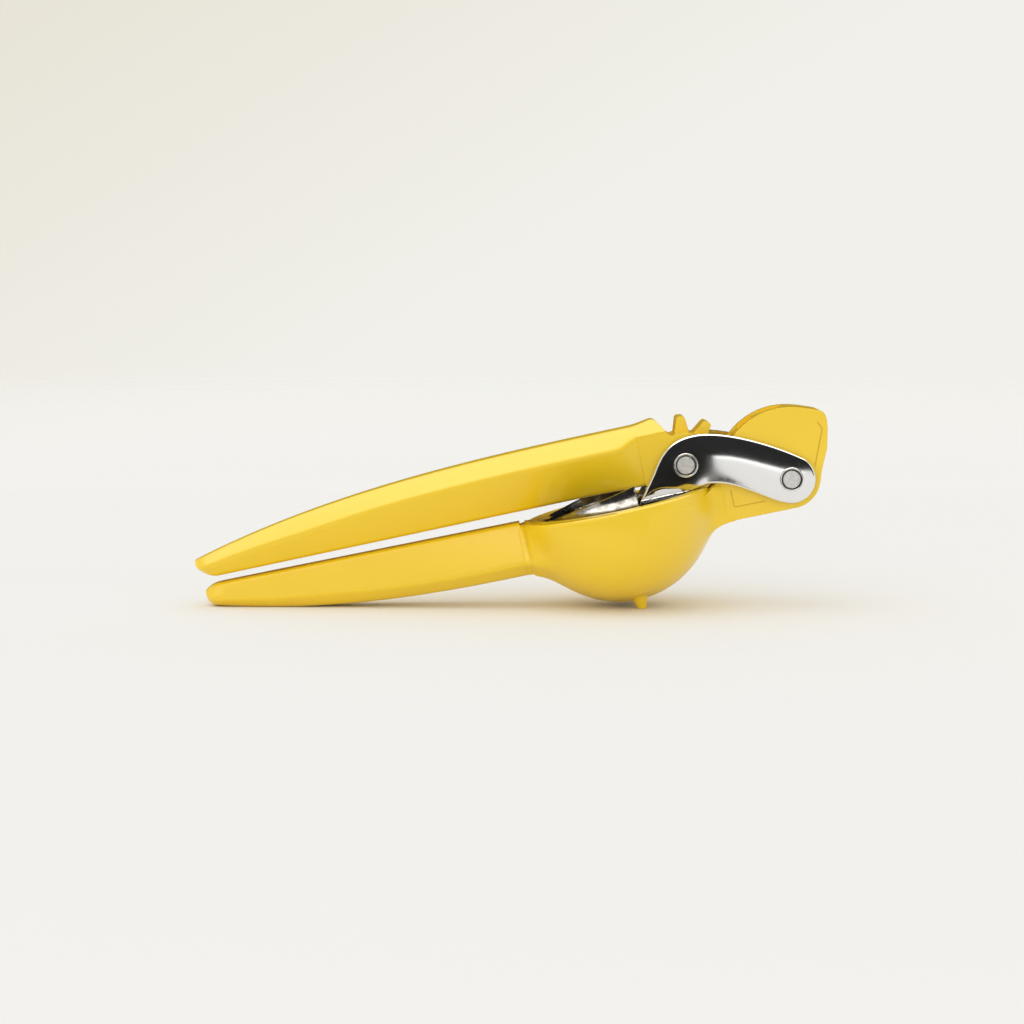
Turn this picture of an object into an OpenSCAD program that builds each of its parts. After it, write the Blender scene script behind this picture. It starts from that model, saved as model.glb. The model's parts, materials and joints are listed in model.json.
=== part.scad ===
// Hinged lemon squeezer: a strainer bowl on the lower handle, a press cup carried by two side links,
// and an upper handle whose pinion walks round a fixed toothed sector, so a short press gets a long pull.
// Drawn in the tool's own plane: x runs along the handles towards the hinge, z up from the bowl's centre,
// y across. The finished tool is then laid down on a table, on its two feet and the lower grip's heel.

/* [Bowl] */
// Outer radius of the spherical bowl
bowl_r = 36.8; // [34:0.1:39]
// Wall of the bowl
bowl_wall = 5.9; // [5:0.1:6.4]
// Height of the rim above the bowl's centre
rim_z = 1.7; // [1.2:0.1:2.4]
// Rounding of the rim's outer edge
rim_round = 1.2; // [0.8:0.1:1.4]
// Width of one drain slot
drain_w = 2; // [1.4:0.1:2.6]
// Reach of the drain slots from the middle of the bowl
drain_reach = 9.6; // [8:0.1:12]
// Bridge left in the middle of each row of drain slots
drain_bridge = 6; // [4:0.1:8]
// Spacing of the rows of drain slots
drain_pitch = 4.8; // [4:0.1:6]
// Distance of each foot from the middle plane
foot_y = 9.5; // [8:0.1:12]
// Height of the feet under the bowl's lowest point
foot_h = 2.6; // [2:0.1:3.6]
// Diameter of a foot at its tip
foot_tip_d = 3.4; // [2.8:0.1:4.4]
// Diameter of a foot at its root
foot_root_d = 6.6; // [5:0.1:8]

/* [Strainer basket] */
// Sheet thickness of the basket
sheet = 0.8; // [0.6:0.1:1]
// Depth of the basket's flange under the rim
basket_sink = 1.1; // [0.8:0.1:1.6]
// Width of the basket's flange on its ledge
flange_w = 0.6; // [0.4:0.1:1]
// Width of one strainer slot
strainer_w = 1.8; // [1.2:0.1:2.2]
// Slots in the inner ring
inner_slots = 8; // [6:1:10]
// Slots in the middle ring
middle_slots = 14; // [10:1:16]
// Slots in the outer ring
outer_slots = 20; // [14:1:24]

/* [Gear train] */
// Pitch radius of the fixed sector
sector_r = 25; // [24.5:0.1:25.5]
// Pitch radius of the handle's pinion
pinion_r = 16; // [15.7:0.1:16.3]
// Length of one tooth pitch along the pitch circles
tooth_pitch = 9.6; // [9.4:0.1:9.8]
// Height of a tooth above the pinion's pitch circle
addendum = 2.5; // [2.2:0.1:2.7]
// Depth of the gap between teeth below the pinion's pitch circle
dedendum = 3.7; // [3.4:0.1:3.9]
// Width of a tooth at its tip
tooth_tip_w = 3; // [2.6:0.1:3.2]
// Width of a tooth at its root
tooth_root_w = 5.6; // [5.2:0.1:5.8]
// Rounding of a tooth's tip corners
tooth_round = 1.3; // [1:0.1:1.4]
// Play between a tooth and the walls of its pocket
tooth_play = 0.3; // [0.25:0.05:0.5]
// Height of the sector's lands above its pitch circle
land_h = 2.3; // [2:0.1:2.5]
// Teeth on the pinion and pockets in the sector
teeth = 4; // [3:1:4]
// Width of the teeth across the tool
tooth_w = 14.4; // [12:0.1:16]

/* [Hinge] */
// Distance of the base pin behind the bowl's wall
pin_gap = 30.1; // [29.4:0.1:31]
// Height of the base pin over the bowl's centre
base_pin_z = -2; // [-2.6:0.1:-1.4]
// Rise of the pinion pin seen from the base pin, tool closed
link_rise = 13.8; // [13.4:0.1:14.2]
// Diameter of both hinge pins
pin_d = 7.5; // [6.5:0.1:8]
// Wall of the bearing sleeves on the pins
sleeve_wall = 1.2; // [1:0.1:1.6]
// Radial running clearance between a pin and its sleeve
running_gap = 0.05; // [0.03:0.01:0.08]
// Width of the arm, the sector and the pinion between the links
hinge_w = 21.4; // [19:0.1:23]
// Thickness of one thrust washer
washer_t = 0.45; // [0.3:0.05:0.6]
// Diameter of a thrust washer
washer_d = 15; // [13:0.1:16]
// Side play of the hinge next to each washer
side_play = 0.05; // [0.03:0.01:0.08]

/* [Side links] */
// Thickness of one side link
link_t = 3.8; // [3.2:0.1:4.4]
// Radius of the link's end round the base pin
link_end_r = 9.3; // [8.6:0.1:9.8]
// Radius of the link's crown round the pinion pin
link_crown_r = 10.4; // [9.8:0.1:11]
// Rounding of the link's outer edge
link_edge = 1.5; // [1:0.1:1.8]
// Width of the countersunk ring round each pin
pin_ring = 1.1; // [0.8:0.1:1.4]
// Height of the flared shoulder that runs from a link's face onto the cup
flare_h = 4.6; // [3.6:0.1:5.2]

/* [Press cup] */
// Space left for the peel between the closed cup's dome and the basket
peel_space = 5.4; // [4.6:0.1:7]
// Wall of the dome
dome_wall = 2.2; // [1.8:0.1:2.8]
// Gap between the cup's flange and the basket
cup_gap = 0.8; // [0.6:0.1:1.4]
// Depth of the cup's deck under the bowl's rim, tool closed
cup_sink = 0.3; // [0.1:0.1:0.6]
// Thickness of the cup's flange and decks
cup_flange_t = 2.2; // [1.8:0.1:2.4]
// Height of the collar that climbs along the cup's edge to the links
collar_h = 9.4; // [7:0.2:9.8]
// Wall of the collar at its top
collar_wall = 2; // [1.6:0.1:2.4]
// Diameter of the screws that hold the links to the cup
link_screw_d = 2.5; // [2:0.1:3]

/* [Arm and hood] */
// Radius of the arm's end round the base pin
arm_end_r = 11.5; // [11:0.1:12]
// Reach of the hood's back edge behind the base pin
hood_reach = 17.8; // [17:0.1:18.6]
// Rise of the hood's top corner over the base pin
hood_rise = 23.3; // [22.6:0.1:23.8]

/* [Grips] */
// Height of the upper grip's inner face over the bowl's rim
handle_gap = 5.1; // [5.1:0.1:6.3]
// Depth of the upper grip at its thick end
upper_depth = 23.4; // [22:0.1:24.2]
// Distance from the pinion pin to the joint of head and grip
head_len = 16.3; // [15.3:0.1:18]
// Length of the upper grip
upper_len = 178.4; // [162:0.1:184]
// Height of the lower grip's inner face over the rim at its thick end
lower_lip = 1; // [0.5:0.1:1.5]
// Rise of the lower grip's inner face at its tip
lower_inner_rise = 1.5; // [0.5:0.1:2]
// Depth of the lower grip at its thick end
lower_depth = 20.5; // [18.7:0.1:20.7]
// Length of the neck between the bowl's wall and the lower grip
neck_len = 2.2; // [1.8:0.1:4]
// Length of the lower grip
lower_len = 125.8; // [112:0.1:132]
// Greatest width of the grips, at their side creases
grip_w = 28.6; // [26:0.1:30]
// Width of the grips' flat inner faces
grip_inner_w = 9.6; // [8.6:0.1:11]
// Width of the grips' flat outer faces
grip_outer_w = 12; // [9:0.1:14]
// Height of the bevels above the side creases
grip_bevel = 7.2; // [6:0.1:8]
// Wall beside the core slot in each grip
core_wall = 1.3; // [1:0.1:1.6]
// Thickness of the plates that close the core slots
plate_t = 1.8; // [1.4:0.1:2.4]
// Diameter of the screws through the tangs
tang_screw_d = 2.6; // [2.2:0.1:3]
// Length of the tangs inside the grips
tang_len = 52; // [46:0.5:60]
// Gap between a tang and the bottom of its slot
tang_gap = 0.2; // [0.1:0.05:0.4]

/* [Hidden] */
$fn = 96;

yellow = [0.93, 0.78, 0.22];
chrome = [0.86, 0.86, 0.86];
steel = [0.72, 0.72, 0.70];
satin = [0.64, 0.63, 0.60];
acetal = [0.92, 0.92, 0.90];

// ---- Points and curves ----
function lerp(a, b, t) = a + (b - a) * t;
function polar(r, a) = [r * cos(a), r * sin(a)];
function unit(v) = v / norm(v);
function arc(c, r, a0, a1, n) = [for (i = [0:n]) c + polar(r, lerp(a0, a1, i / n))];
// A cubic Bezier curve without its first point
function bezier(a, b, c, d, n) = [for (i = [1:n]) let (t = i / n, s = 1 - t)
    s * s * s * a + 3 * s * s * t * b + 3 * s * t * t * c + t * t * t * d];
// Three points that round the corner at p, reaching d along both sides
function corner(a, p, b, d) = let (u = unit(a - p), v = unit(b - p)) [p + u * d, p + (u + v) * d / 4, p + v * d];
function mirrored(pts) = [for (i = [len(pts) - 1:-1:0]) [-pts[i][0], pts[i][1]]];
// Moves the sides of a closed anticlockwise outline inwards by d
function inset(pts, d) = let (n = len(pts)) [for (i = [0:n - 1])
    let (s = unit(pts[i] - pts[(i + n - 1) % n]), t = unit(pts[(i + 1) % n] - pts[i]))
    pts[i] + d * [-s[1] - t[1], s[0] + t[0]] / (1 + s * t)];

// Faces that close a ring of n points: one face, or strips across from point i to point n - i
function cap(n, strips) = !strips ? [[for (i = [0:n - 1]) i]]
    : [for (i = [0:floor((n - 1) / 2) - 1]) i == 0 ? [0, 1, n - 1] : [i, i + 1, n - 1 - i, n - i]];
// A solid through rings of equally many points, closed by its first and last ring
module loft(rings, strips = false) {
    n = len(rings[0]);
    m = len(rings);
    polyhedron(
        points = [for (ring = rings) each ring],
        faces = concat(
            cap(n, strips),
            [for (k = [0:m - 2], i = [0:n - 1]) let (a = k * n, b = a + n, j = (i + 1) % n) [a + i, b + i, b + j, a + j]],
            [for (f = cap(n, strips)) [for (i = [len(f) - 1:-1:0]) (m - 1) * n + f[i]]]));
}

// A slab of an x-z outline between two places across the tool
module slab(y0, y1) translate([0, y1, 0]) rotate([90, 0, 0]) linear_extrude(y1 - y0) children();
// A cylinder across the tool at an x-z place
module across(at, r, y0, y1, r2 = undef)
    translate([at[0], y1, at[1]]) rotate([90, 0, 0]) cylinder(r1 = is_undef(r2) ? r : r2, r2 = r, h = y1 - y0);
// The rear copy of a piece drawn in front
module rear() mirror([0, 1, 0]) children();

// ---- Places of the hinge ----
p2 = [bowl_r + pin_gap, base_pin_z];
centres = sector_r + pinion_r;
p1 = p2 + [-sqrt(centres * centres - link_rise * link_rise), link_rise];
mesh_a = atan2(p1[1] - p2[1], p1[0] - p2[0]);
pinion_step = tooth_pitch / pinion_r * 180 / PI;
sector_step = tooth_pitch / sector_r * 180 / PI;
root_r = pinion_r - dedendum;
tip_r = pinion_r + addendum;
land_r = sector_r + land_h;
cheek_step = 0.4;
cheek_r = land_r + cheek_step;
pin_r = pin_d / 2;
seat_gap = 0.02;
sleeve_r = pin_r + running_gap + sleeve_wall;
half_hinge = hinge_w / 2;
link_in = half_hinge + washer_t + side_play;
link_out = link_in + link_t;
relief_r = root_r + 0.8;
relief_w = half_hinge + 0.3;
bowl_in = bowl_r - bowl_wall;
basket_r = bowl_in - 0.3;
basket_in = basket_r - sheet;
dome_r = basket_in - peel_space;
cup_flange_r = basket_in - cup_gap;
foot_depth = bowl_r + foot_h;
upper_inner_z = rim_z + handle_gap;
upper_outer_z = upper_inner_z + upper_depth;
upper_seam_x = p1[0] - head_len;
upper_tip_x = upper_seam_x - upper_len;
lower_inner_z = rim_z + lower_lip;
lower_outer_z = lower_inner_z - lower_depth;
lower_seam_x = -bowl_r - neck_len;
lower_tip_x = lower_seam_x - lower_len;
deck_top = rim_z - cup_sink;
deck_low = deck_top - cup_flange_t;
foot_x = 0.8;
heel_flat = 0.2;

// ---- Sections of the grips: a hexagon with softened corners ----
soft = 1.1;
function section(x, zi, zc, zo, wi, wc, wo) = let (
    p = [[wi, zi], [wc, zc], [wo, zo], [-wo, zo], [-wc, zc], [-wi, zi]],
    q = zo > zi ? p : [for (i = [5:-1:0]) p[i]])
    [for (i = [0:5]) each [for (k = corner(q[(i + 5) % 6], q[i], q[(i + 1) % 6], soft)) [x, k[0], k[1]]]];
// Share of the full width left at a distance s from an end rounded over r
function rounded(s, r) = s >= r ? 1 : sqrt(max(0, 1 - pow(1 - s / r, 2)));
// Rise of a corner of radius r at a distance s from the end
function bend(s, r) = s >= r ? 0 : r - sqrt(r * r - pow(r - s, 2));
function ease(t) = let (c = max(0, min(1, t))) c * c * (3 - 2 * c);

end_cut = 0.9;
width_start = upper_seam_x - 42;
taper_w = 7;
function grip_half(x, tip) = (grip_w / 2 - taper_w * pow(max(0, (width_start - x) / (width_start - tip)), 1.2));
function bevel(x, tip) = grip_bevel * min(1, 0.53 + 0.47 * (x - tip) / 45);
// Places along a grip, closer together where its tip turns
function stations(tip, seam, n) = [for (i = [0:n]) tip + end_cut + (seam - tip - end_cut) * pow(i / n, 2.1)];

upper_drop = 15.9;
narrow_len = 8;
function upper_out(x) = upper_outer_z - upper_drop * pow((upper_seam_x - x) / (upper_seam_x - upper_tip_x), 3);
function upper_half(x) = lerp(grip_half(x, upper_tip_x), half_hinge, ease((x - upper_seam_x + narrow_len) / narrow_len));
function upper_ring(x) = let (
    s = x - upper_tip_x, k = rounded(s, 6), wc = upper_half(x) * k, full = grip_half(x, upper_tip_x),
    wo = grip_outer_w / 2 * full / (grip_w / 2) * k, zo = upper_out(x) - bend(s, 2) * 0.5,
    zi = upper_inner_z + bend(s, 9),
    wi = lerp(grip_inner_w / 2, half_hinge - 0.6, ease((x - upper_seam_x + 26) / 26)) * min(1, 0.45 + s / 16),
    zc = zo - bevel(x, upper_tip_x) * (wc - wo) / (full * k - wo))
    section(x, min(zi, zo - 2.6), max(zc, min(zi, zo - 2.6) + 0.9), zo, wi, wc, wo);
upper_rings = [for (x = stations(upper_tip_x, upper_seam_x, 30)) upper_ring(x)];

lower_rise = 13.8;
lower_curve = 2.5;
function lower_out(x) = lower_outer_z
    + lower_rise * pow(max(0, lower_seam_x - x) / (lower_seam_x - lower_tip_x) * 1.02, lower_curve);
function lower_in(x) = lower_inner_z
    + lower_inner_rise * max(0, (lower_seam_x - x) / (lower_seam_x - lower_tip_x));
function lower_ring(x) = let (
    s = x - lower_tip_x, k = rounded(s, 6), wc = grip_half(x, lower_tip_x) * k,
    wo = 8.4 * wc / (grip_w / 2), zi = lower_in(x) - bend(s, 7) * 0.6,
    zo = min(lower_out(x) + bend(s, 4), zi - 2.6),
    wi = grip_inner_w / 2 * min(1, 0.45 + s / 16))
    section(x, zi, min(zo + bevel(x, lower_tip_x) * 0.74, zi - 0.9), zo, wi, wc, wo);
lower_rings = [for (x = stations(lower_tip_x, lower_seam_x, 28)) lower_ring(x)];

// ---- How the closed tool lies: on its two feet and the lower grip's heel ----
lay_tilt = min([for (x = stations(lower_tip_x, lower_seam_x, 90))
    atan((lower_out(x) + heel_flat + foot_depth) / (foot_x - x))]);
lift = foot_depth * cos(lay_tilt) - foot_x * sin(lay_tilt);
function laid_x(p) = p[0] * cos(lay_tilt) - p[1] * sin(lay_tilt);
tip_end = min([for (ring = upper_rings) each [for (p = ring) laid_x([p[0], p[2]])]]);
hood_end = max([for (p = arm_outline()) laid_x(p)]);
mid_x = (tip_end + hood_end) / 2;

module place() translate([-mid_x, 0, lift]) rotate([0, -lay_tilt, 0]) children();
module under_table() translate([foot_x, 0, -foot_depth]) rotate([0, lay_tilt, 0])
    translate([-upper_len - bowl_r, -2 * bowl_r, -bowl_r]) cube([2 * (upper_len + bowl_r), 4 * bowl_r, bowl_r]);

// ---- Gear teeth ----
function tooth_half(r) = lerp(tooth_root_w, tooth_tip_w, (r - root_r) / (tip_r - root_r)) / 2;
module tooth_profile() {
    cx = tip_r - tooth_round;
    top = arc([cx, tooth_half(cx) - tooth_round], tooth_round, 0, 90, 6);
    flank = concat(top, [[root_r - 2, tooth_half(root_r - 2)]]);
    polygon(concat([for (i = [len(flank) - 1:-1:0]) [flank[i][0], -flank[i][1]]], flank));
}
// A pocket takes the tooth's swing: straight walls up to the pitch circle, then a flared mouth
mouth_lean = 0.56;
module pocket_profile() {
    floor_r = centres - tip_r - tooth_play;
    half = [tooth_tip_w / 2 + tooth_play, tooth_half(pinion_r) + tooth_play,
        tooth_root_w / 2 + mouth_lean * (land_r - sector_r)];
    out = land_r + 2;
    lip = half[2] + (half[2] - half[1]) * 2 / (land_r - sector_r);
    polygon([[floor_r, -half[0] + 0.6], [floor_r + 0.6, -half[0]], [sector_r, -half[1]], [out, -lip],
        [out, lip], [sector_r, half[1]], [floor_r + 0.6, half[0]], [floor_r, half[0] - 0.6]]);
}

// ---- Lower body ----
// Side view of the arm and hood: fillet from the bowl, underside, end round the pin, back edge, crown
function arm_outline() = let (
    root = polar(bowl_r - 1, -50), under = [bowl_r + 4.4, p2[1] - arm_end_r + 0.2],
    corner_p = p2 + [hood_reach, hood_rise], back = p2 + [hood_reach - 1.8, 8.5])
    concat(
        [root * 0.95, root],
        bezier(root, root + [9, 7.6], under + [-5.4, -1.2], under, 8),
        arc(p2, arm_end_r, -90, -16, 10),
        bezier(p2 + polar(arm_end_r, -16), p2 + [12.4, 1.4], back + [-2, -4.4], back, 5),
        bezier(back, back + [0.9, 4], corner_p + [0.2, -7], corner_p + [0.2, -4.8], 4),
        bezier(corner_p + [0.2, -4.8], corner_p + [0.6, -1.6], corner_p + [-0.4, -0.2], corner_p + [-2.4, 0.5], 5),
        bezier(corner_p + [-2.4, 0.5], corner_p + [-6, 1.9], p2 + [6, cheek_r], p2 + [0, cheek_r], 7),
        arc(p2, cheek_r, 94, 171, 26),
        [[bowl_r, rim_z], [bowl_r - bowl_wall / 2, rim_z]]);

// The arm's root: its section grows wider, deeper and rounder into the bowl
root_from = bowl_r + 6;
root_to = bowl_r * 0.58;
function root_ring(x) = let (
    t = (root_from - x) / (root_from - root_to), w = half_hinge - 0.3 + 8.5 * pow(t, 1.6),
    deep = p2[1] - arm_end_r + 0.5 - 15.5 * pow(t, 1.25), n = lerp(0.2, 0.8, ease(1.6 * t)), top = -1 - 6 * t)
    [for (a = [0:9:180]) [x, w * sign(cos(a)) * pow(abs(cos(a)), n), top + (deep - top) * pow(max(0, sin(a)), n)]];
root_rings = [for (i = [0:9]) root_ring(lerp(root_from, root_to, i / 9))];

// Solid half ball up to the rim, whose outer edge is rounded
module bowl_ball() {
    cross = 0.03;
    mid = [bowl_r + cross - rim_round, rim_z + cross - rim_round];
    rotate_extrude() difference() {
        circle(bowl_r);
        translate([-2 * bowl_r, -bowl_r]) square([2 * bowl_r, 2 * bowl_r]);
        translate([0, rim_z]) square(bowl_r * 2);
        translate(mid) difference() {
            square(2 * rim_round);
            circle(rim_round);
        }
    }
}
basket_top = rim_z - basket_sink;
basket_seat_r = sqrt(bowl_in * bowl_in - basket_top * basket_top) + flange_w;

// The neck: the lower grip's section, widened and deepened into the bowl
neck_end = -0.6 * bowl_r;
function neck_ring(x) = let (
    t = (x - lower_seam_x) / (neck_end - lower_seam_x), r = lower_ring(lower_seam_x),
    drop = 11 * pow(t, 1.3), wide = 4.5 * t * t)
    section(x, rim_z + (lower_inner_z - rim_z) * (1 - ease(t * 3)), lower_outer_z + 4.2 - drop * 0.9,
        lower_outer_z - drop, lerp(grip_inner_w / 2, 9, ease(t)), grip_w / 2 + wide, 8.4 - wide);
neck_rings = [for (i = [0:8]) neck_ring(lerp(lower_seam_x, neck_end, i / 8))];

module drain_slots() {
    for (row = [-2:2], s = [-1, 1]) {
        reach = sqrt(max(pow(drain_reach, 2) - pow(row * drain_pitch, 2) * 0.35, 30));
        a = drain_bridge / 2 + drain_w / 2;
        b = reach - drain_w / 2;
        translate([0, row * drain_pitch, -bowl_r - 1]) linear_extrude(bowl_wall + 4) {
            translate([s * a, 0]) circle(d = drain_w, $fn = 24);
            translate([s * b, 0]) circle(d = drain_w, $fn = 24);
            translate([s > 0 ? a : -b, -drain_w / 2]) square([b - a, drain_w]);
        }
    }
}

// ---- Core slots, tangs and plates of the grips ----
core_w = grip_inner_w - 2 * core_wall;
core_end = 24;
web = 6;
function upper_edge(x0, x1, down) = [for (i = [12:-1:0]) let (x = lerp(x0, x1, i / 12)) [x, upper_out(x) - down]];
function lower_edge(x0, x1, up) = [for (i = [0:12]) let (x = lerp(x0, x1, i / 12)) [x, lower_out(x) + up]];
module upper_core(x0, x1, down, bottom) polygon(concat([[x0, bottom], [x1, bottom]], upper_edge(x0, x1, down)));
module lower_core(x0, x1, up, down) polygon(concat(lower_edge(x0, x1, up),
    [for (x = [x1, lower_seam_x, x0]) [x, lower_in(x) - down]]));
screw_places = [tang_len * 0.22, tang_len * 0.78];
head_d = tang_screw_d * 1.75;
head_h = tang_screw_d * 0.7;
screw_bite = 4;

// Screws run up from the tang's inner side into the web of the grip
module upper_screws(extra, deep) for (u = screw_places) let (x = upper_seam_x - u, z0 = upper_inner_z + plate_t + tang_gap) {
    translate([x, 0, z0 - deep]) cylinder(d = head_d + 2 * extra, h = head_h + deep, $fn = 32);
    translate([x, 0, z0]) cylinder(d = tang_screw_d + 2 * extra,
        h = upper_out(x) - web + screw_bite - z0 + (deep > 0 ? 0.3 : 0), $fn = 32);
}
module lower_screws(extra, deep) for (u = screw_places) let (x = lower_seam_x - u, z0 = lower_in(x) - plate_t - tang_gap) {
    translate([x, 0, z0 - head_h]) cylinder(d = head_d + 2 * extra, h = head_h + deep, $fn = 32);
    translate([x, 0, lower_out(x) + web - screw_bite - (deep > 0 ? 0.3 : 0)])
        cylinder(d = tang_screw_d + 2 * extra, h = z0 - lower_out(x) - web + screw_bite, $fn = 32);
}

// Fine lines moulded into both sides of the arm and hood
line_w = 0.35;
line_deep = 0.3;
function panel_lines() = [
    [[bowl_r + 6.6, rim_z - 3.4], [bowl_r + 6.7, p2[1] - 6.2], [bowl_r + 18.6, p2[1] - 6.4]],
    [p2 + [hood_reach - 3.4, hood_rise - 4.2], p2 + [hood_reach - 2.2, hood_rise - 7], p2 + [10, 2.6]]];
module line_cuts() for (side = [-1, 1], run = panel_lines(), i = [0:len(run) - 2]) let (
    a = run[i], b = run[i + 1], u = unit(b - a) * line_w / 2, n = [-u[1], u[0]])
    slab(side > 0 ? half_hinge - line_deep : -half_hinge - 1, side > 0 ? half_hinge + 1 : line_deep - half_hinge)
        polygon([a - u + n, a - u - n, b + u - n, b + u + n]);

module bowl_housing() {
    color(yellow) place() difference() {
        union() {
            bowl_ball();
            slab(-half_hinge, half_hinge) polygon(arm_outline());
            loft(neck_rings);
            loft(root_rings);
            slab(-core_w / 2 + seat_gap, core_w / 2 - seat_gap)
                lower_core(lower_seam_x - tang_len, lower_seam_x + 1, web + tang_gap, plate_t + seat_gap);
            for (s = [-1, 1]) translate([foot_x, s * foot_y, -foot_depth - 0.6])
                cylinder(d1 = foot_tip_d - 0.2, d2 = foot_root_d + 0.4, h = foot_depth + 0.6 - bowl_r + 3);
        }
        // The bowl stays open for the basket and the fruit
        sphere(bowl_in);
        translate([0, 0, basket_top - sheet]) cylinder(r = basket_seat_r, h = sheet + basket_sink + 1);
        drain_slots();
        across(p1, relief_r, -relief_w, relief_w);
        across(p2, sleeve_r + seat_gap, -hinge_w, hinge_w);
        slab(-tooth_w / 2 - tooth_play, tooth_w / 2 + tooth_play) {
            for (i = [0:teeth - 1]) translate(p2) rotate(mesh_a - i * sector_step) pocket_profile();
            translate(p2) difference() {
                circle(cheek_r + 2);
                circle(land_r);
                rotate(mesh_a - (teeth - 0.5) * sector_step) translate([0, -3 * cheek_r]) square([2 * cheek_r, 3 * cheek_r]);
                rotate(mesh_a + sector_step / 2) translate([0, 0]) square([2 * cheek_r, 3 * cheek_r]);
                translate([-cheek_r * 2, -cheek_r * 3]) square([cheek_r * 4, cheek_r * 3]);
            }
        }
        lower_screws(0.1, 3);
        line_cuts();
        under_table();
    }
}

module strainer_basket() {
    color(steel) place() difference() {
        rotate_extrude() difference() {
            union() {
                circle(basket_r);
                translate([0, basket_top - sheet]) square([basket_seat_r - seat_gap, sheet]);
            }
            circle(basket_in);
            translate([-2 * bowl_r, -bowl_r]) square([2 * bowl_r, 2 * bowl_r]);
            translate([0, basket_top]) square(bowl_r * 2);
            translate([0, basket_top - sheet - 0.01]) square([basket_in - 0.1, 2 * sheet]);
        }
        strainer_ring(inner_slots, basket_r * 0.15);
        strainer_ring(middle_slots, basket_r * 0.37);
        strainer_ring(outer_slots, basket_r * 0.62);
        translate([0, 0, -bowl_r]) cylinder(d = strainer_w * 1.5, h = bowl_r / 2, $fn = 24);
        across(p1, relief_r, -relief_w, relief_w);
    }
}
module strainer_ring(n, r) {
    len = basket_r * 0.15;
    for (i = [0:n - 1]) rotate(i * 360 / n) translate([r, 0, -bowl_r]) linear_extrude(bowl_r * 0.78) {
        circle(d = strainer_w, $fn = 16);
        translate([len, 0]) circle(d = strainer_w, $fn = 16);
        translate([0, -strainer_w / 2]) square([len, strainer_w]);
    }
}

module lower_grip() {
    color(yellow) place() difference() {
        loft(lower_rings);
        slab(-core_w / 2, core_w / 2) lower_core(lower_tip_x + core_end, lower_seam_x + 1, web, -1);
        lower_screws(seat_gap, 0);
        under_table();
    }
}

module lower_grip_plate() {
    color(yellow) place() slab(-core_w / 2 + seat_gap, core_w / 2 - seat_gap) polygon([
        [lower_tip_x + core_end + seat_gap, lower_in(lower_tip_x + core_end)], [lower_seam_x - seat_gap, lower_in(lower_seam_x)],
        [lower_seam_x - seat_gap, lower_in(lower_seam_x) - plate_t],
        [lower_tip_x + core_end + seat_gap, lower_in(lower_tip_x + core_end) - plate_t]]);
}

module lower_tang_screws() {
    color(steel) place() lower_screws(0, 0);
}

module sleeve(at) difference() {
    across(at, sleeve_r, -half_hinge, half_hinge);
    across(at, pin_r + running_gap, -hinge_w, hinge_w);
}

module base_sleeve() {
    color(acetal) place() sleeve(p2);
}

// ---- Press: cup, links, pins and washers ----
flare_lip = 0.6;
flare_w = cup_flange_r - link_out;
link_tip = p1 + [-20.1, deck_top - p1[1]];
link_left = p1 + [-12.9, -0.85];

// Concave shoulder that carries a link's face out over the cup's deck to the flange's edge
lean = (link_left - link_tip) / (link_left[1] - link_tip[1]);
module link_shoulder() intersection() {
    translate([0, 0, deck_top]) rotate([90, 0, 90]) linear_extrude(cup_flange_r) polygon(concat(
        [[-link_out - seat_gap, -0.5], [-link_out - seat_gap, flare_lip + flare_h]],
        [for (a = [0:9:90]) [-link_out - seat_gap - flare_w * (1 - cos(a)), flare_lip + flare_h * (1 - sin(a))]],
        [[-link_out - flare_w - 1, flare_lip], [-link_out - flare_w - 1, -0.5]]));
    translate([0, 0, deck_low + 0.5]) cylinder(r = cup_flange_r, h = cup_flange_t + 2 * flare_h);
    slab(-2 * cup_flange_r, 0) polygon([link_tip + [0.6, 0] - lean, [2 * cup_flange_r, deck_top - 1],
        [2 * cup_flange_r, deck_top + 2 * flare_h], link_tip + [0.6, 0] + lean * (2 * flare_h)]);
}

// Collar round both sides of the cup: low at the front, climbing to the links' edges, concave outside
collar_start = cup_flange_r - 1.4;
collar_in = dome_r - dome_wall;
collar_end = link_tip + [1, 0];
module cup_collar() intersection() {
    rotate_extrude() polygon(concat(
        [[collar_in, deck_low + 0.5], [cup_flange_r, deck_low + 0.5]],
        [for (a = [90:-6:0]) [cup_flange_r - (cup_flange_r - collar_in - collar_wall) * cos(a),
            deck_top + flare_lip + collar_h * (1 - sin(a))]],
        [[collar_in, deck_top + flare_lip + collar_h]]));
    slab(-2 * cup_flange_r, 2 * cup_flange_r) polygon([
        [-collar_start - 2, deck_low], [-collar_start, deck_top], collar_end + lean * collar_h,
        collar_end - lean * (deck_top - deck_low)]);
}

module press_cup() {
    color(chrome) place() difference() {
        union() {
            rotate_extrude() difference() {
                union() {
                    intersection() {
                        circle(dome_r);
                        translate([0, -dome_r]) square([dome_r, dome_r + deck_low + cup_flange_t / 2]);
                    }
                    translate([0, deck_low]) square([cup_flange_r, cup_flange_t]);
                }
                circle(dome_r - dome_wall);
                translate([0, 0]) square([dome_r - dome_wall, 2 * cup_flange_t]);
            }
            translate([0, 0, deck_low]) intersection() {
                cylinder(r = cup_flange_r, h = cup_flange_t);
                for (s = [-1, 1]) translate([link_tip[0] - 2, s > 0 ? relief_w : -cup_flange_r, 0])
                    cube([cup_flange_r, cup_flange_r - relief_w, cup_flange_t]);
            }
            link_shoulder();
            rear() link_shoulder();
            cup_collar();
        }
        across(p1, tip_r + 0.8, -tooth_w / 2 - 0.6, tooth_w / 2 + 0.6);
        across(p1, relief_r, -relief_w, relief_w);
        link_screw_holes(seat_gap, 1);
    }
}
screw_far = sqrt(cup_flange_r * cup_flange_r - pow(link_in + link_t / 2, 2)) - 1.5 * link_screw_d;
screw_x = [lerp(link_tip[0], screw_far, 0.32), screw_far];
link_head_d = link_screw_d * 1.6;
link_head_h = link_screw_d * 0.44;
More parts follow.
